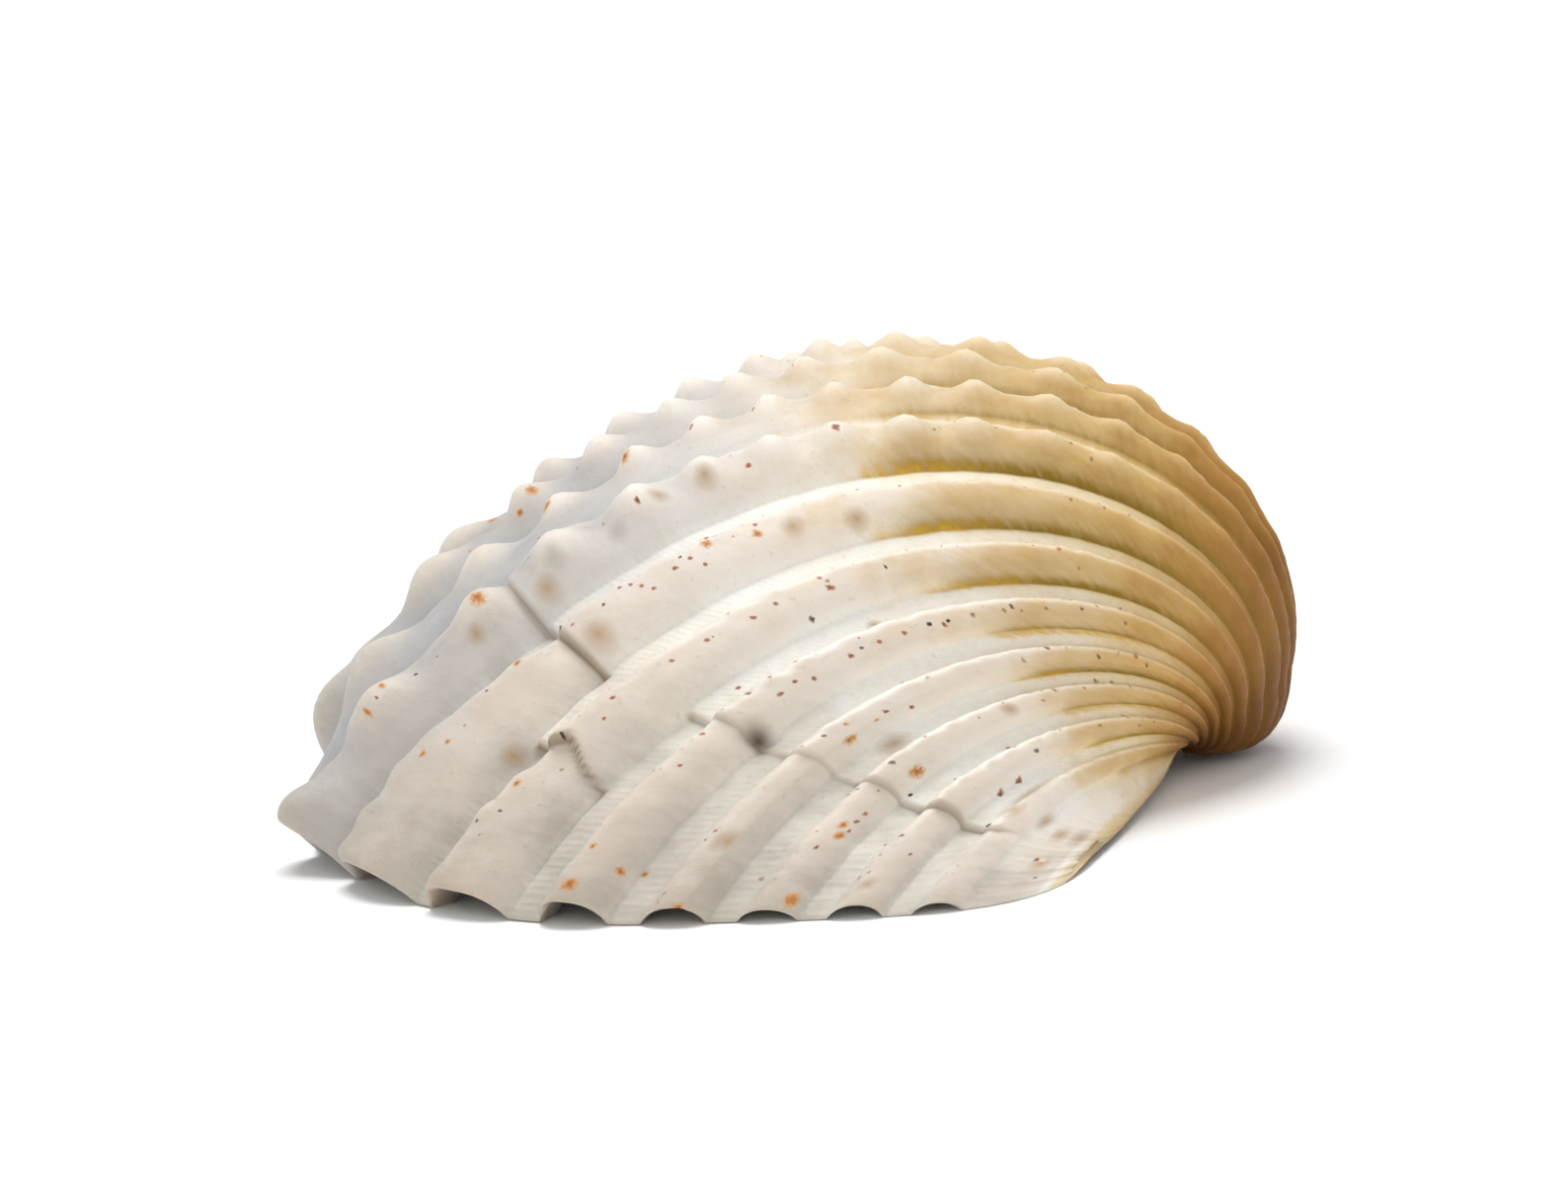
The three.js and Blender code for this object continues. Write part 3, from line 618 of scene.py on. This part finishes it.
def tints(turn, place, masks):
    """Masks of colour over the outside: how aged and olive it is, how pale with painted highlight, where
    painted cool shade lies and how near the hinge it is.
    """
    k, across = rib_at(turn, place)
    on_rib = (k >= 0) & (across < 1)
    share = np.where(on_rib, across, np.where(k >= 0, FLOOR_ACROSS, FIELD_ACROSS))
    ahead = np.interp(share, AHEAD_ACROSS, AHEAD_TURNS)
    early = np.where(k < 0, 0.0, np.interp(k, EARLY_RIBS, EARLY_TURNS))
    age = turn + ahead * smoothstep(turn, *AHEAD_FADE_TURNS) + early * smoothstep(turn, *EARLY_FADE_TURNS)
    rear_field = smoothstep(place, *REAR_FIELD_PLACES)
    age = age * (1 - rear_field) + np.minimum(age, REAR_FIELD_AGE) * rear_field
    age = np.maximum(age, REAR_CORNER_AGE * smoothstep(place, *REAR_CORNER_PLACES))

    # Olive at the foot of a rib's rear flank, gold along the groove before the next rib
    from_edge = np.maximum(across, 0)
    foot = 0.45 * bell(from_edge, 0, 0.35) + 0.75 * bell(from_edge, 0, 0.11)
    foot = np.where(k >= 0, foot, 0.0)
    safe = np.clip(k, 0, RIB_COUNT - 1)
    before = PITCHES[safe] - (EDGES[safe] - place)
    at_foot = np.where(k >= 0, bell(before, 0.05, 0.22), 0.0)
    stained = np.interp(k, STAINED_RIBS, STAINED_SHARES)
    start = np.interp(k, STAIN_START_RIBS, STAIN_START_TURNS)
    olive = foot * stained * smoothstep(turn - start, -0.05, 0.06) * (1 - 0.6 * smoothstep(turn, 1.4, 2.2))
    next_start = np.interp(k + 1, STAIN_START_RIBS, STAIN_START_TURNS)
    next_stain = np.interp(k + 1, STAINED_RIBS, STAINED_SHARES)
    gold = at_foot * next_stain * smoothstep(turn - next_start, -0.03, 0.05)
    gold *= 1 - smoothstep(turn, 1.3, 1.9)
    early_gold = smoothstep(turn - start, -0.08, -0.01) * (1 - smoothstep(turn - start, 0.04, 0.3))
    gold = np.maximum(gold, bell(from_edge, 0, 0.07) * (k >= 0) * stained * early_gold)

    # Pale floors and crests, partly their own colour and partly painted highlight on the crests and knob
    # tops; bluish-grey painted shade in the valleys between the front knobs
    crest = masks["edge"] + masks["knob"]
    pale_and_highlight = np.clip(np.maximum(1 - masks["rib"], 0.75 * crest), 0, 1) * np.where(k >= 0, 1, 0.3)
    pale_and_highlight *= 1 - 0.6 * smoothstep(turn, 1.2, 1.9)
    valley = 1 - 0.9 * np.clip(masks["knob"] * 1.6, 0, 1)
    cool_shade = smoothstep(-place, -26, -12) * (1 - smoothstep(turn, 0.35, 0.95)) * valley
    return {"age": age, "olive": olive, "gold": gold, "pale_and_highlight": pale_and_highlight, "cool_shade": cool_shade, "area": hinge_weight(place)}


def inside(turn, place):
    """Inner surface, from the margin or the hinge plate up into the hollow."""
    bearing = bearing_at(place)
    weight = hinge_weight(place)
    inset = MARGIN_WALL + (HINGE_PLATE - MARGIN_WALL) * weight + front_inset(turn, place)
    k, across = rib_at(np.zeros_like(turn), place)
    profile = np.where((k >= 0) & (across < 1), rib_profile(across), 0.0)
    furrow = profile * np.maximum(1 - turn / FURROW_TURN, 0)
    outward = sum(outward_at(bearing_at(place + step)) for step in INNER_SOFTENING) / len(INNER_SOFTENING)
    outward /= np.linalg.norm(outward, axis=-1, keepdims=True)
    start = outline(bearing) + outward * (FURROW_DEPTH * furrow - inset)[..., None]
    point = coil(start, turn, HOLLOW_COIL_RATE)
    outer_edge = outside(np.zeros_like(place), place)[0][..., 2]
    rise = outer_edge + (PLATE_RISE - outer_edge) * weight
    point[..., 2] += rise * np.maximum(1 - turn / RISE_TURN, 0)
    return point


def grid_places(turn):
    """Places of the grid's columns at one turn: the columns follow the ribs' edges."""
    places = []
    on_rib = np.arange(COLUMNS_ON_RIB) / COLUMNS_ON_RIB
    on_floor = np.arange(COLUMNS_ON_FLOOR) / COLUMNS_ON_FLOOR
    for k in range(RIB_COUNT):
        width = float(rib_width(turn, k))
        places.append(EDGES[k] - on_rib * width)
        places.append(EDGES[k] - width - on_floor * (PITCHES[k] - width))
    length = PERIMETER - (FIRST_RIB_EDGE - EDGES[-1])
    places.append(EDGES[-1] - length * np.arange(HINGE_COLUMNS) / HINGE_COLUMNS)
    return wrapped(np.concatenate(places))


def outer_turns():
    """Turns of the outer rows, about evenly far apart and closer at the ledge."""
    fine = np.linspace(0, BEAK_TURN, 4001)
    ledge, late_ledge, margin = [weight * bell(fine, at, width) for at, width, weight in CLOSER_ROWS]
    density = coil_size(fine) ** 0.8 * (1 + ledge) + late_ledge + margin
    reached = np.concatenate([[0], np.cumsum((density[1:] + density[:-1]) / 2)])
    return np.interp(np.linspace(reached[-1], 0, OUTER_ROWS), reached, fine)


def tooth_points():
    """Rounded teeth across the hinge plate, splayed at both ends, and their faces."""
    u = np.linspace(0, 2 * math.pi, TOOTH_SEGMENTS, endpoint=False)
    v = np.linspace(-math.pi / 2, math.pi / 2, TOOTH_RINGS)[1:-1]
    u, v = np.meshgrid(u, v)
    ring = signed_power(np.cos(v), TOOTH_SQUARENESS)
    x = ring * signed_power(np.cos(u), TOOTH_SQUARENESS)
    y = ring * signed_power(np.sin(u), TOOTH_SQUARENESS)
    z = signed_power(np.sin(v), TOOTH_SQUARENESS)
    unit = np.concatenate([np.stack([x, y, z], -1).reshape(-1, 3), [[0, 0, -1], [0, 0, 1]]])
    height = TOOTH_ROOT_Z - TOOTH_TIP_Z
    unit *= np.array([TOOTH_LENGTH, TOOTH_THICKNESS, height]) / 2
    rings, around = len(v), TOOTH_SEGMENTS
    faces = []
    for i in range(rings - 1):
        for j in range(around):
            after = (j + 1) % around
            faces.append([i * around + j, i * around + after, (i + 1) * around + after, (i + 1) * around + j])
    for j in range(around):
        after = (j + 1) % around
        faces.append([rings * around, after, j])
        faces.append([rings * around + 1, (rings - 1) * around + j, (rings - 1) * around + after])
    count = int((PERIMETER - (REAR_TOOTH - FRONT_TOOTH)) // TOOTH_PITCH) + 1
    points, all_faces = [], []
    for i in range(count):
        place = np.array([REAR_TOOTH + i * TOOTH_PITCH])
        outward = outward_at(bearing_at(place))[0]
        inset = HINGE_PLATE / 2 + front_inset(np.zeros(1), place)[0]
        middle = outline(bearing_at(place))[0] - outward * inset
        angle = math.atan2(outward[1], outward[0]) + TOOTH_SPLAY * (2 * i / (count - 1) - 1)
        c, s = math.cos(angle), math.sin(angle)
        turned = unit @ np.array([[c, s, 0], [-s, c, 0], [0, 0, 1]])
        all_faces += [[index + i * len(unit) for index in face] for face in faces]
        points.append(turned + middle + np.array([0, 0, (TOOTH_ROOT_Z + TOOTH_TIP_Z) / 2]))
    return np.concatenate(points), all_faces


def stains():
    """All stains and the small specks along the crests: place, turn, half sizes, colour and strength."""
    rows = []
    for name, marks in STAINS.items():
        for mark in marks:
            colour, strength, share, soft = STAIN_KINDS[name]
            place, turn = mark[:2]
            half_width, half_height = mark[2] * share, mark[3] * share
            rows.append((place, turn, half_width, half_height, *linear(colour), strength, soft))
    rng = np.random.RandomState(SPECK_SEED)
    for _ in range(SPECK_COUNT):
        k = rng.randint(1, RIB_COUNT)
        place = EDGES[k] - PITCHES[k] * RIB_SHARE * np.clip(rng.normal(0.8, 0.2), 0, 1.1)
        turn = rng.uniform(0.02, 1.5)
        size = rng.uniform(0.04, 0.09)
        name = rng.choice(SPECK_KINDS)
        colour, strength, _, soft = STAIN_KINDS[name]
        rows.append((place, turn, size * rng.uniform(1, 1.8), size, *linear(colour), 0.8 * strength, soft))
    return np.array(rows)


def linear(colour):
    """Linear light of a colour given as it looks on a screen."""
    c = np.array(colour)
    return np.where(c < 0.04045, c / 12.92, ((c + 0.055) / 1.055) ** 2.4)


def add_stains(mesh, turn, place, is_outer):
    """Each face's nearest stain, as offsets of its corners from the stain's middle and a colour."""
    marks = stains()
    corner_point = np.zeros(len(mesh.loops), np.int32)
    mesh.loops.foreach_get("vertex_index", corner_point)
    totals = np.zeros(len(mesh.polygons), np.int32)
    mesh.polygons.foreach_get("loop_total", totals)
    starts = np.concatenate([[0], np.cumsum(totals)[:-1]])
    face = np.repeat(np.arange(len(totals)), totals)
    corner_turn, corner_place = turn[corner_point], place[corner_point]
    mid_turn = np.add.reduceat(corner_turn, starts) / totals
    mid_place = np.add.reduceat(corner_place, starts) / totals
    spread = np.maximum.reduceat(corner_place, starts) - np.minimum.reduceat(corner_place, starts)
    usable = (spread < 5) & (np.minimum.reduceat(is_outer[corner_point], starts) > 0.5)
    size = coil_size(marks[:, 1])
    place_half = marks[:, 2] / size
    turn_half = marks[:, 3] / size / reach_at(marks[:, 0])
    nearest = np.zeros(len(totals), np.int32)
    closest = np.full(len(totals), 1e9)
    for i in range(len(marks)):
        place_away = (mid_place - marks[i, 0]) / place_half[i]
        turn_away = (mid_turn - marks[i, 1]) / turn_half[i]
        away = place_away ** 2 + turn_away ** 2
        nearer = away < closest
        nearest[nearer] = i
        closest[nearer] = away[nearer]
    chosen = nearest[face]
    across = (corner_place - marks[chosen, 0]) / place_half[chosen]
    along = (corner_turn - marks[chosen, 1]) / turn_half[chosen]
    offsets = np.stack([across, along, np.zeros_like(along)], -1)
    offsets = np.where((usable & (closest < 60))[face][:, None], offsets, 9.0)
    layer = mesh.attributes.new("stain_offset", "FLOAT_VECTOR", "CORNER")
    layer.data.foreach_set("vector", offsets.astype(np.float32).ravel())
    layer = mesh.attributes.new("stain", "FLOAT_COLOR", "CORNER")
    layer.data.foreach_set("color", marks[chosen, 4:8].astype(np.float32).ravel())
    layer = mesh.attributes.new("stain_soft", "FLOAT", "CORNER")
    layer.data.foreach_set("value", marks[chosen, 8].astype(np.float32))


def inner_masks(turn, place):
    """Muscle scars and the mantle's line on the inside."""
    scar = np.zeros_like(turn)
    for at_place, at_turn, half_place, half_turn in SCARS:
        apart = wrapped(place - at_place)
        apart = np.where(apart > PERIMETER / 2, apart - PERIMETER, apart)
        away = np.hypot(apart / half_place, (turn - at_turn) / half_turn)
        scar = np.maximum(scar, 1 - smoothstep(away, 0.85, 1))
    line = bell(turn, PALLIAL_TURN, PALLIAL_HALF_WIDTH) * (1 - hinge_weight(place))
    return scar, line


def valve_mesh():
    """One closed skin (beak, outside, margin, inside, top of the hollow), and the teeth on its plate."""
    turns = outer_turns()
    inner_turns = HOLLOW_TOP_TURN * np.linspace(0, 1, INNER_ROWS) ** INNER_ROW_POWER
    place = np.array([grid_places(t) for t in turns])
    turn = np.broadcast_to(turns[:, None], place.shape).copy()
    outer, masks = outside(turn, place)
    place_in = np.broadcast_to(grid_places(0.0), (INNER_ROWS, place.shape[1])).copy()
    turn_in = np.broadcast_to(inner_turns[:, None], place_in.shape).copy()
    inner = inside(turn_in, place_in)
    shrink = np.interp(inner_turns, HOLLOW_CLOSING_TURNS, HOLLOW_CLOSING_SHARES)
    middles = inner.mean(axis=1, keepdims=True)
    inner = middles + (inner - middles) * shrink[:, None, None]
    rows = np.concatenate([outer, inner])
    count = rows.shape[1]
    tip, top = rows[0].mean(axis=0), rows[-1].mean(axis=0)
    teeth, tooth_faces = tooth_points()
    points = np.concatenate([rows.reshape(-1, 3), [tip, top], teeth]) - FOOTPRINT_MIDDLE
    i, j = np.meshgrid(np.arange(len(rows) - 1), np.arange(count), indexing="ij")
    after = (j + 1) % count
    quads = np.stack([i * count + j, i * count + after, (i + 1) * count + after, (i + 1) * count + j], -1)
    faces = quads.reshape(-1, 4).tolist()
    tip_index = len(rows) * count
    last = (len(rows) - 1) * count
    for j in range(count):
        after = (j + 1) % count
        faces.append([tip_index, after, j])
        faces.append([tip_index + 1, last + j, last + after])
    faces += [[index + tip_index + 2 for index in face] for face in tooth_faces]
    mesh = bpy.data.meshes.new("valve_skin")
    mesh.from_pydata((points * MM).tolist(), [], faces)
    mesh.polygons.foreach_set("use_smooth", np.ones(len(mesh.polygons), bool))
    tint = tints(turn, place, masks)
    scar, pallial = inner_masks(turn_in, place_in)
    flat = np.zeros_like(place_in)
    values = {
        "turn": (turn, turn_in, 0),
        "place": (place, place_in, 0),
        "grown": (reach_at(place) * (1 - coil_size(turn)) / COIL_RATE, flat, 0),
        "size": (coil_size(turn), flat + 1, 1),
        "inner": (np.zeros_like(place), smoothstep(turn_in, -0.01, 0.03), 1),
        "edge": (masks["edge"], flat, 0),
        "floor": (1 - np.clip(masks["rib"] * 4, 0, 1), flat, 0),
        "hinge_place": (wrapped(place - PERIMETER / 2), flat, 0),
        # the line mask carries the painted shadow under the ledge lips
        "line": (masks["line"], flat, 0),
        "pit": (masks["pit"], flat, 0),
        "scar": (np.zeros_like(place), scar, 0),
        "pallial": (np.zeros_like(place), pallial, 0),
    }
    values.update({name: (value, flat, 0) for name, value in tint.items()})
    stored = {}
    for name, (on_outside, on_inside, on_teeth) in values.items():
        sheet = np.concatenate([on_outside, on_inside])
        ends = [sheet[0].mean(), sheet[-1].mean()]
        stored[name] = np.concatenate([sheet.ravel(), ends, np.full(len(teeth), float(on_teeth))])
        layer = mesh.attributes.new(name, "FLOAT", "POINT")
        layer.data.foreach_set("value", stored[name].astype(np.float32))
    add_stains(mesh, stored["turn"], stored["place"], 1 - stored["inner"])
    mesh.update()
    return mesh


class Shader:
    """A material's nodes, built by short calls; each call returns an output socket."""

    def __init__(self, name):
        self.material = bpy.data.materials.new(name)
        self.material.use_nodes = True
        self.tree = self.material.node_tree
        self.surface = self.tree.nodes["Principled BSDF"]

    def node(self, kind, inputs=None, **settings):
        node = self.tree.nodes.new(kind)
        for name, value in settings.items():
            setattr(node, name, value)
        for key, value in (inputs or {}).items():
            self.feed(node.inputs[key], value)
        return node

    def feed(self, socket, value):
        if isinstance(value, bpy.types.NodeSocket):
            self.tree.links.new(value, socket)
        elif isinstance(value, (tuple, list)) and len(value) == 3 and socket.type == "RGBA":
            socket.default_value = (*linear(value), 1)
        else:
            socket.default_value = value

    def attribute(self, name, output="Fac"):
        return self.node("ShaderNodeAttribute", attribute_name=name).outputs[output]

    def math(self, operation, *values, clamp=False):
        inputs = dict(enumerate(values))
        return self.node("ShaderNodeMath", inputs, operation=operation, use_clamp=clamp).outputs[0]

    def noise(self, vector, scale, detail=3, roughness=0.55):
        inputs = {"Vector": vector, "Scale": scale, "Detail": detail, "Roughness": roughness}
        return self.node("ShaderNodeTexNoise", inputs).outputs["Fac"]

    def range(self, value, low, high, to_low=0.0, to_high=1.0):
        inputs = {"Value": value, "From Min": low, "From Max": high, "To Min": to_low, "To Max": to_high}
        return self.node("ShaderNodeMapRange", inputs).outputs["Result"]

    def ramp(self, value, stops):
        node = self.node("ShaderNodeValToRGB", {"Fac": value})
        elements = node.color_ramp.elements
        elements[0].position = 0
        elements[0].color = (*linear(stops[0][1]), 1)
        elements[1].position = stops[-1][0] / OLDEST_AGE
        elements[1].color = (*linear(stops[-1][1]), 1)
        for age, colour in stops[1:-1]:
            element = elements.new(age / OLDEST_AGE)
            element.color = (*linear(colour), 1)
        return node.outputs["Color"]

    def mix(self, factor, under, over, blend="MIX"):
        node = self.node("ShaderNodeMix", data_type="RGBA", blend_type=blend)
        self.feed(node.inputs[0], factor)
        self.feed(node.inputs[6], under)
        self.feed(node.inputs[7], over)
        return node.outputs[2]


class Textures:
    """The noises that the colours and the relief share, over space or along the growth."""

    def __init__(self, sh):
        self.space = sh.node("ShaderNodeTexCoord").outputs["Object"]
        across = sh.math("MULTIPLY", sh.attribute("place"), 0.35)
        along = sh.node("ShaderNodeCombineXYZ", {0: across, 1: sh.attribute("grown")}).outputs[0]
        self.broad = sh.noise(self.space, BROAD_SCALE, 4)
        self.fine = sh.noise(self.space, FINE_SCALE, 4, 0.65)
        self.growth = sh.noise(along, GROWTH_SCALE, 4, 0.6)
        self.thin_growth = sh.noise(along, THIN_GROWTH_SCALE, 3, 0.6)
        self.pits = sh.range(self.fine, 0.62, 0.72)


def aged_colour(sh, tex):
    """Face and pale colours by age, with painted shade on the faces and painted highlight on the pale crests,
    uneven growth bands, stained feet and painted cool shade on the front ribs.
    """
    at, broad, growth = sh.attribute, tex.broad, tex.growth
    wander = sh.math("ADD", sh.range(broad, 0.3, 0.7, -0.13, 0.13), sh.range(growth, 0.3, 0.7, -0.06, 0.06))
    age = sh.math("DIVIDE", sh.math("ADD", at("age"), wander), OLDEST_AGE, clamp=True)
    pale_and_highlight = sh.math("MULTIPLY", at("pale_and_highlight"), sh.range(tex.fine, 0.3, 0.6, 0.75, 1.0), clamp=True)
    colour = sh.mix(pale_and_highlight, sh.ramp(age, FACE_AND_PAINTED_SHADE_AGES), sh.ramp(age, PALE_AND_PAINTED_LIGHT_AGES))
    olive = sh.math("MULTIPLY", at("olive"), sh.range(growth, 0.3, 0.7, 0.7, 1.1), clamp=True)
    colour = sh.mix(olive, colour, OLIVE)
    colour = sh.mix(sh.math("MULTIPLY", at("gold"), sh.range(growth, 0.35, 0.6, 0.3, 1.0)), colour, GOLD)
    # bluish-grey painted shade between the front knobs, left off the knob crowns
    cool_shade = sh.math("MULTIPLY", at("cool_shade"), sh.range(broad, 0.35, 0.65, 0.5, 0.8))
    colour = sh.mix(cool_shade, colour, COOL_SHADE)
    blushing = sh.math("SUBTRACT", 0.4, sh.math("MULTIPLY", pale_and_highlight, 0.4))
    blush = sh.math("MULTIPLY", sh.range(broad, 0.48, 0.7), blushing)
    return sh.mix(blush, colour, BLUSH, "MULTIPLY")


def dirtied_and_shaded(sh, tex, colour):
    """Dirt in the tiny pits and thin growth bands, painted shadow along the line under the ledges, and darker
    brown in the round pit.
    """
    at = sh.attribute
    dirty = sh.math("MULTIPLY", tex.pits, sh.math("ADD", 0.18, sh.math("MULTIPLY", at("edge"), 0.45)))
    colour = sh.mix(dirty, colour, STAIN_KINDS["speck"][0])
    bands = sh.math("MULTIPLY", sh.range(tex.thin_growth, 0.55, 0.75), 0.07)
    colour = sh.mix(bands, colour, STAIN_KINDS["soft brown"][0])
    # painted shadow under the ledge lips
    colour = sh.mix(sh.math("MULTIPLY", at("line"), 0.75), colour, LEDGE_SHADOW)
    return sh.mix(at("pit"), colour, PIT_BROWN)


def hinge_area_colour(sh):
    """Tan with dark chevrons, between the beak and the hinge line."""
    at = sh.attribute
    spread = sh.math("MULTIPLY", sh.math("ABSOLUTE", at("hinge_place")), CHEVRON_SLANT)
    along = sh.math("ADD", sh.math("MULTIPLY", at("turn"), CHEVRON_RATE), spread)
    chevron = sh.math("SINE", sh.math("MULTIPLY", along, 3.0))
    return sh.mix(sh.range(chevron, 0.6, 0.95, 0, 0.7), HINGE_TAN, CHEVRON_BROWN)


def stained_colour(sh, tex, colour):
    """Ragged stains with a deeper core, and soft smudges."""
    at = sh.attribute
    grain = sh.noise(tex.space, GRAIN_SCALE, 2, 0.6)
    soft = at("stain_soft")
    firm = sh.math("SUBTRACT", 1.0, soft)
    ragged = sh.math("MULTIPLY", sh.range(grain, 0.3, 0.7, -0.35, 0.35), firm)
    offset = {0: at("stain_offset", "Vector")}
    away = sh.node("ShaderNodeVectorMath", offset, operation="LENGTH").outputs["Value"]
    away = sh.math("ADD", away, ragged)
    inner_end = sh.math("MULTIPLY", firm, 0.7)
    stained = sh.math("MULTIPLY", sh.range(away, 1.05, inner_end), at("stain", "Alpha"), clamp=True)
    colour = sh.mix(stained, colour, at("stain", "Color"))
    core = sh.math("MULTIPLY", sh.range(away, 0.6, 0.0), at("stain", "Alpha"))
    core = sh.math("MULTIPLY", core, sh.range(soft, 1.0, 0.5))
    return sh.mix(sh.math("MULTIPLY", core, 0.8), colour, STAIN_CORE, "MULTIPLY")


def inside_colour(sh, tex):
    """Porcelain with the two muscle scars, the mantle's line and faint clouds."""
    inner = sh.mix(sh.attribute("scar"), PORCELAIN, SCAR)
    inner = sh.mix(sh.math("MULTIPLY", sh.attribute("pallial"), 0.5), inner, SCAR)
    return sh.mix(sh.range(tex.broad, 0.5, 0.8, 0, 0.25), inner, SCAR)


def shell_roughness(sh, tex):
    """Matte outside with a dull gleam on the crests, polished inside."""
    gleam = sh.math("MULTIPLY", sh.attribute("edge"), 0.18)
    dull = sh.math("SUBTRACT", sh.range(tex.fine, 0.3, 0.7, 0.5, 0.68), gleam)
    roughness = sh.node("ShaderNodeMix", data_type="FLOAT")
    sh.feed(roughness.inputs[0], sh.attribute("inner"))
    sh.feed(roughness.inputs[2], dull)
    roughness.inputs[3].default_value = INSIDE_ROUGHNESS
    return roughness.outputs[0]


def shell_bump(sh, tex):
    """Threads across the grooves, growth lines and grain on the outside."""
    at = sh.attribute
    wobble = sh.math("MULTIPLY", tex.growth, 5.0)
    phase = sh.math("ADD", sh.math("MULTIPLY", at("grown"), 2 * math.pi / THREAD_PITCH), wobble)
    threads = sh.math("MULTIPLY", sh.math("SINE", phase), sh.math("MULTIPLY", at("floor"), 0.15))
    relief = sh.math("ADD", threads, sh.math("MULTIPLY", tex.thin_growth, 0.08))
    relief = sh.math("ADD", relief, sh.math("MULTIPLY", tex.fine, 0.7))
    relief = sh.math("SUBTRACT", relief, sh.math("MULTIPLY", tex.pits, sh.math("ADD", 0.2, at("edge"))))
    outer = sh.math("SUBTRACT", 1.0, at("inner"))
    relief = sh.math("MULTIPLY", relief, sh.math("MULTIPLY", outer, at("size")))
    bump = sh.node("ShaderNodeBump", {"Height": relief, "Strength": BUMP_STRENGTH, "Distance": BUMP_HEIGHT})
    return bump.outputs["Normal"]


def shell_material():
    """Chalky ribbed outside that browns towards the beak, porcelain inside, stains and growth threads."""
    sh = Shader("shell")
    tex = Textures(sh)
    colour = dirtied_and_shaded(sh, tex, aged_colour(sh, tex))
    colour = sh.mix(sh.attribute("area"), colour, hinge_area_colour(sh))
    colour = stained_colour(sh, tex, colour)
    colour = sh.mix(sh.attribute("inner"), colour, inside_colour(sh, tex))
    sh.feed(sh.surface.inputs["Base Color"], colour)
    sh.feed(sh.surface.inputs["Roughness"], shell_roughness(sh, tex))
    sh.feed(sh.surface.inputs["Normal"], shell_bump(sh, tex))
    sh.surface.inputs["Specular IOR Level"].default_value = SPECULAR_LEVEL
    sh.surface.inputs["Subsurface Weight"].default_value = SUBSURFACE_WEIGHT
    sh.surface.inputs["Subsurface Radius"].default_value = SUBSURFACE_RADIUS
    sh.surface.inputs["Subsurface Scale"].default_value = SUBSURFACE_SCALE
    return sh.material


def linked(name, data):
    """A new object in the scene."""
    thing = bpy.data.objects.new(name, data)
    bpy.context.scene.collection.objects.link(thing)
    return thing


def build_valve():
    valve = linked("valve_shell", valve_mesh())
    valve.data.materials.append(shell_material())
    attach(valve, "root" if "root" in frame["bodies"] else list(frame["bodies"])[0])
    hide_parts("valve")


# Camera, at the angle that the photograph was taken from
PHOTO_WIDTH = 1588
PHOTO_HEIGHT = 1193
VIEW_AZIMUTH = math.radians(-7.4)
VIEW_ELEVATION = math.radians(9.9)
VIEW_ROLL = math.radians(-3.4)
VIEW_DISTANCE = 253 * MM
VIEW_TARGET = Vector((-15.0, 0.0, 8.0) - FOOTPRINT_MIDDLE) * MM
PIXELS_PER_MM = 24.9
AXIS_X, AXIS_Y = 811.5, 581.8
SENSOR = 36.0

# Floor, sky and the two soft lights, each with its strength, width in degrees and direction
FLOOR_HALF = 3.0
FLOOR_COLOUR = (0.9, 0.9, 0.9, 1)
FLOOR_ROUGHNESS = 0.9
WORLD_STRENGTH = 0.6
LIGHTS = {
    "key": (2.1, 35, (-0.1, 0.35, 1.0)),
    "fill": (0.7, 60, (0.1, -1.0, 0.3)),
}


def build_camera():
    data = bpy.data.cameras.new("camera")
    data.sensor_width = SENSOR
    data.lens = SENSOR * PIXELS_PER_MM * VIEW_DISTANCE / MM / PHOTO_WIDTH
    data.shift_x = (PHOTO_WIDTH / 2 - AXIS_X) / PHOTO_WIDTH
    data.shift_y = (AXIS_Y - PHOTO_HEIGHT / 2) / PHOTO_WIDTH
    data.clip_start = 0.01
    data.clip_end = 10
    camera = linked("camera", data)
    az, el = VIEW_AZIMUTH, VIEW_ELEVATION
    forward = Vector((math.sin(az) * math.cos(el), math.cos(az) * math.cos(el), -math.sin(el)))
    level = Vector((math.cos(az), -math.sin(az), 0))
    upward = level.cross(forward)
    right = math.cos(VIEW_ROLL) * level + math.sin(VIEW_ROLL) * upward
    up = -math.sin(VIEW_ROLL) * level + math.cos(VIEW_ROLL) * upward
    rotation = Matrix((right, up, -forward)).transposed().to_4x4()
    camera.matrix_world = Matrix.Translation(VIEW_TARGET - forward * VIEW_DISTANCE) @ rotation
    bpy.context.scene.camera = camera


def build_stage():
    mesh = bpy.data.meshes.new("floor")
    corners = [(x * FLOOR_HALF, y * FLOOR_HALF, 0) for x, y in ((-1, -1), (1, -1), (1, 1), (-1, 1))]
    mesh.from_pydata(corners, [], [(0, 1, 2, 3)])
    floor = linked("floor", mesh)
    material = bpy.data.materials.new("pale_floor")
    material.use_nodes = True
    shader = material.node_tree.nodes["Principled BSDF"]
    shader.inputs["Base Color"].default_value = FLOOR_COLOUR
    shader.inputs["Roughness"].default_value = FLOOR_ROUGHNESS
    shader.inputs["Specular IOR Level"].default_value = 0.0
    mesh.materials.append(material)
    world = bpy.data.worlds.new("studio")
    bpy.context.scene.world = world
    world.use_nodes = True
    background = world.node_tree.nodes["Background"]
    background.inputs["Color"].default_value = (1, 1, 1, 1)
    background.inputs["Strength"].default_value = WORLD_STRENGTH
    for name, (strength, degrees, towards) in LIGHTS.items():
        sun_light(name, strength, degrees, towards)


def sun_light(name, strength, degrees, towards):
    data = bpy.data.lights.new(name, "SUN")
    data.energy = strength
    data.angle = math.radians(degrees)
    light = linked(name, data)
    light.rotation_euler = Vector(towards).to_track_quat("Z", "Y").to_euler()


def main():
    build_valve()
    build_camera()
    build_stage()
    bpy.context.scene.view_settings.view_transform = "Standard"


main()
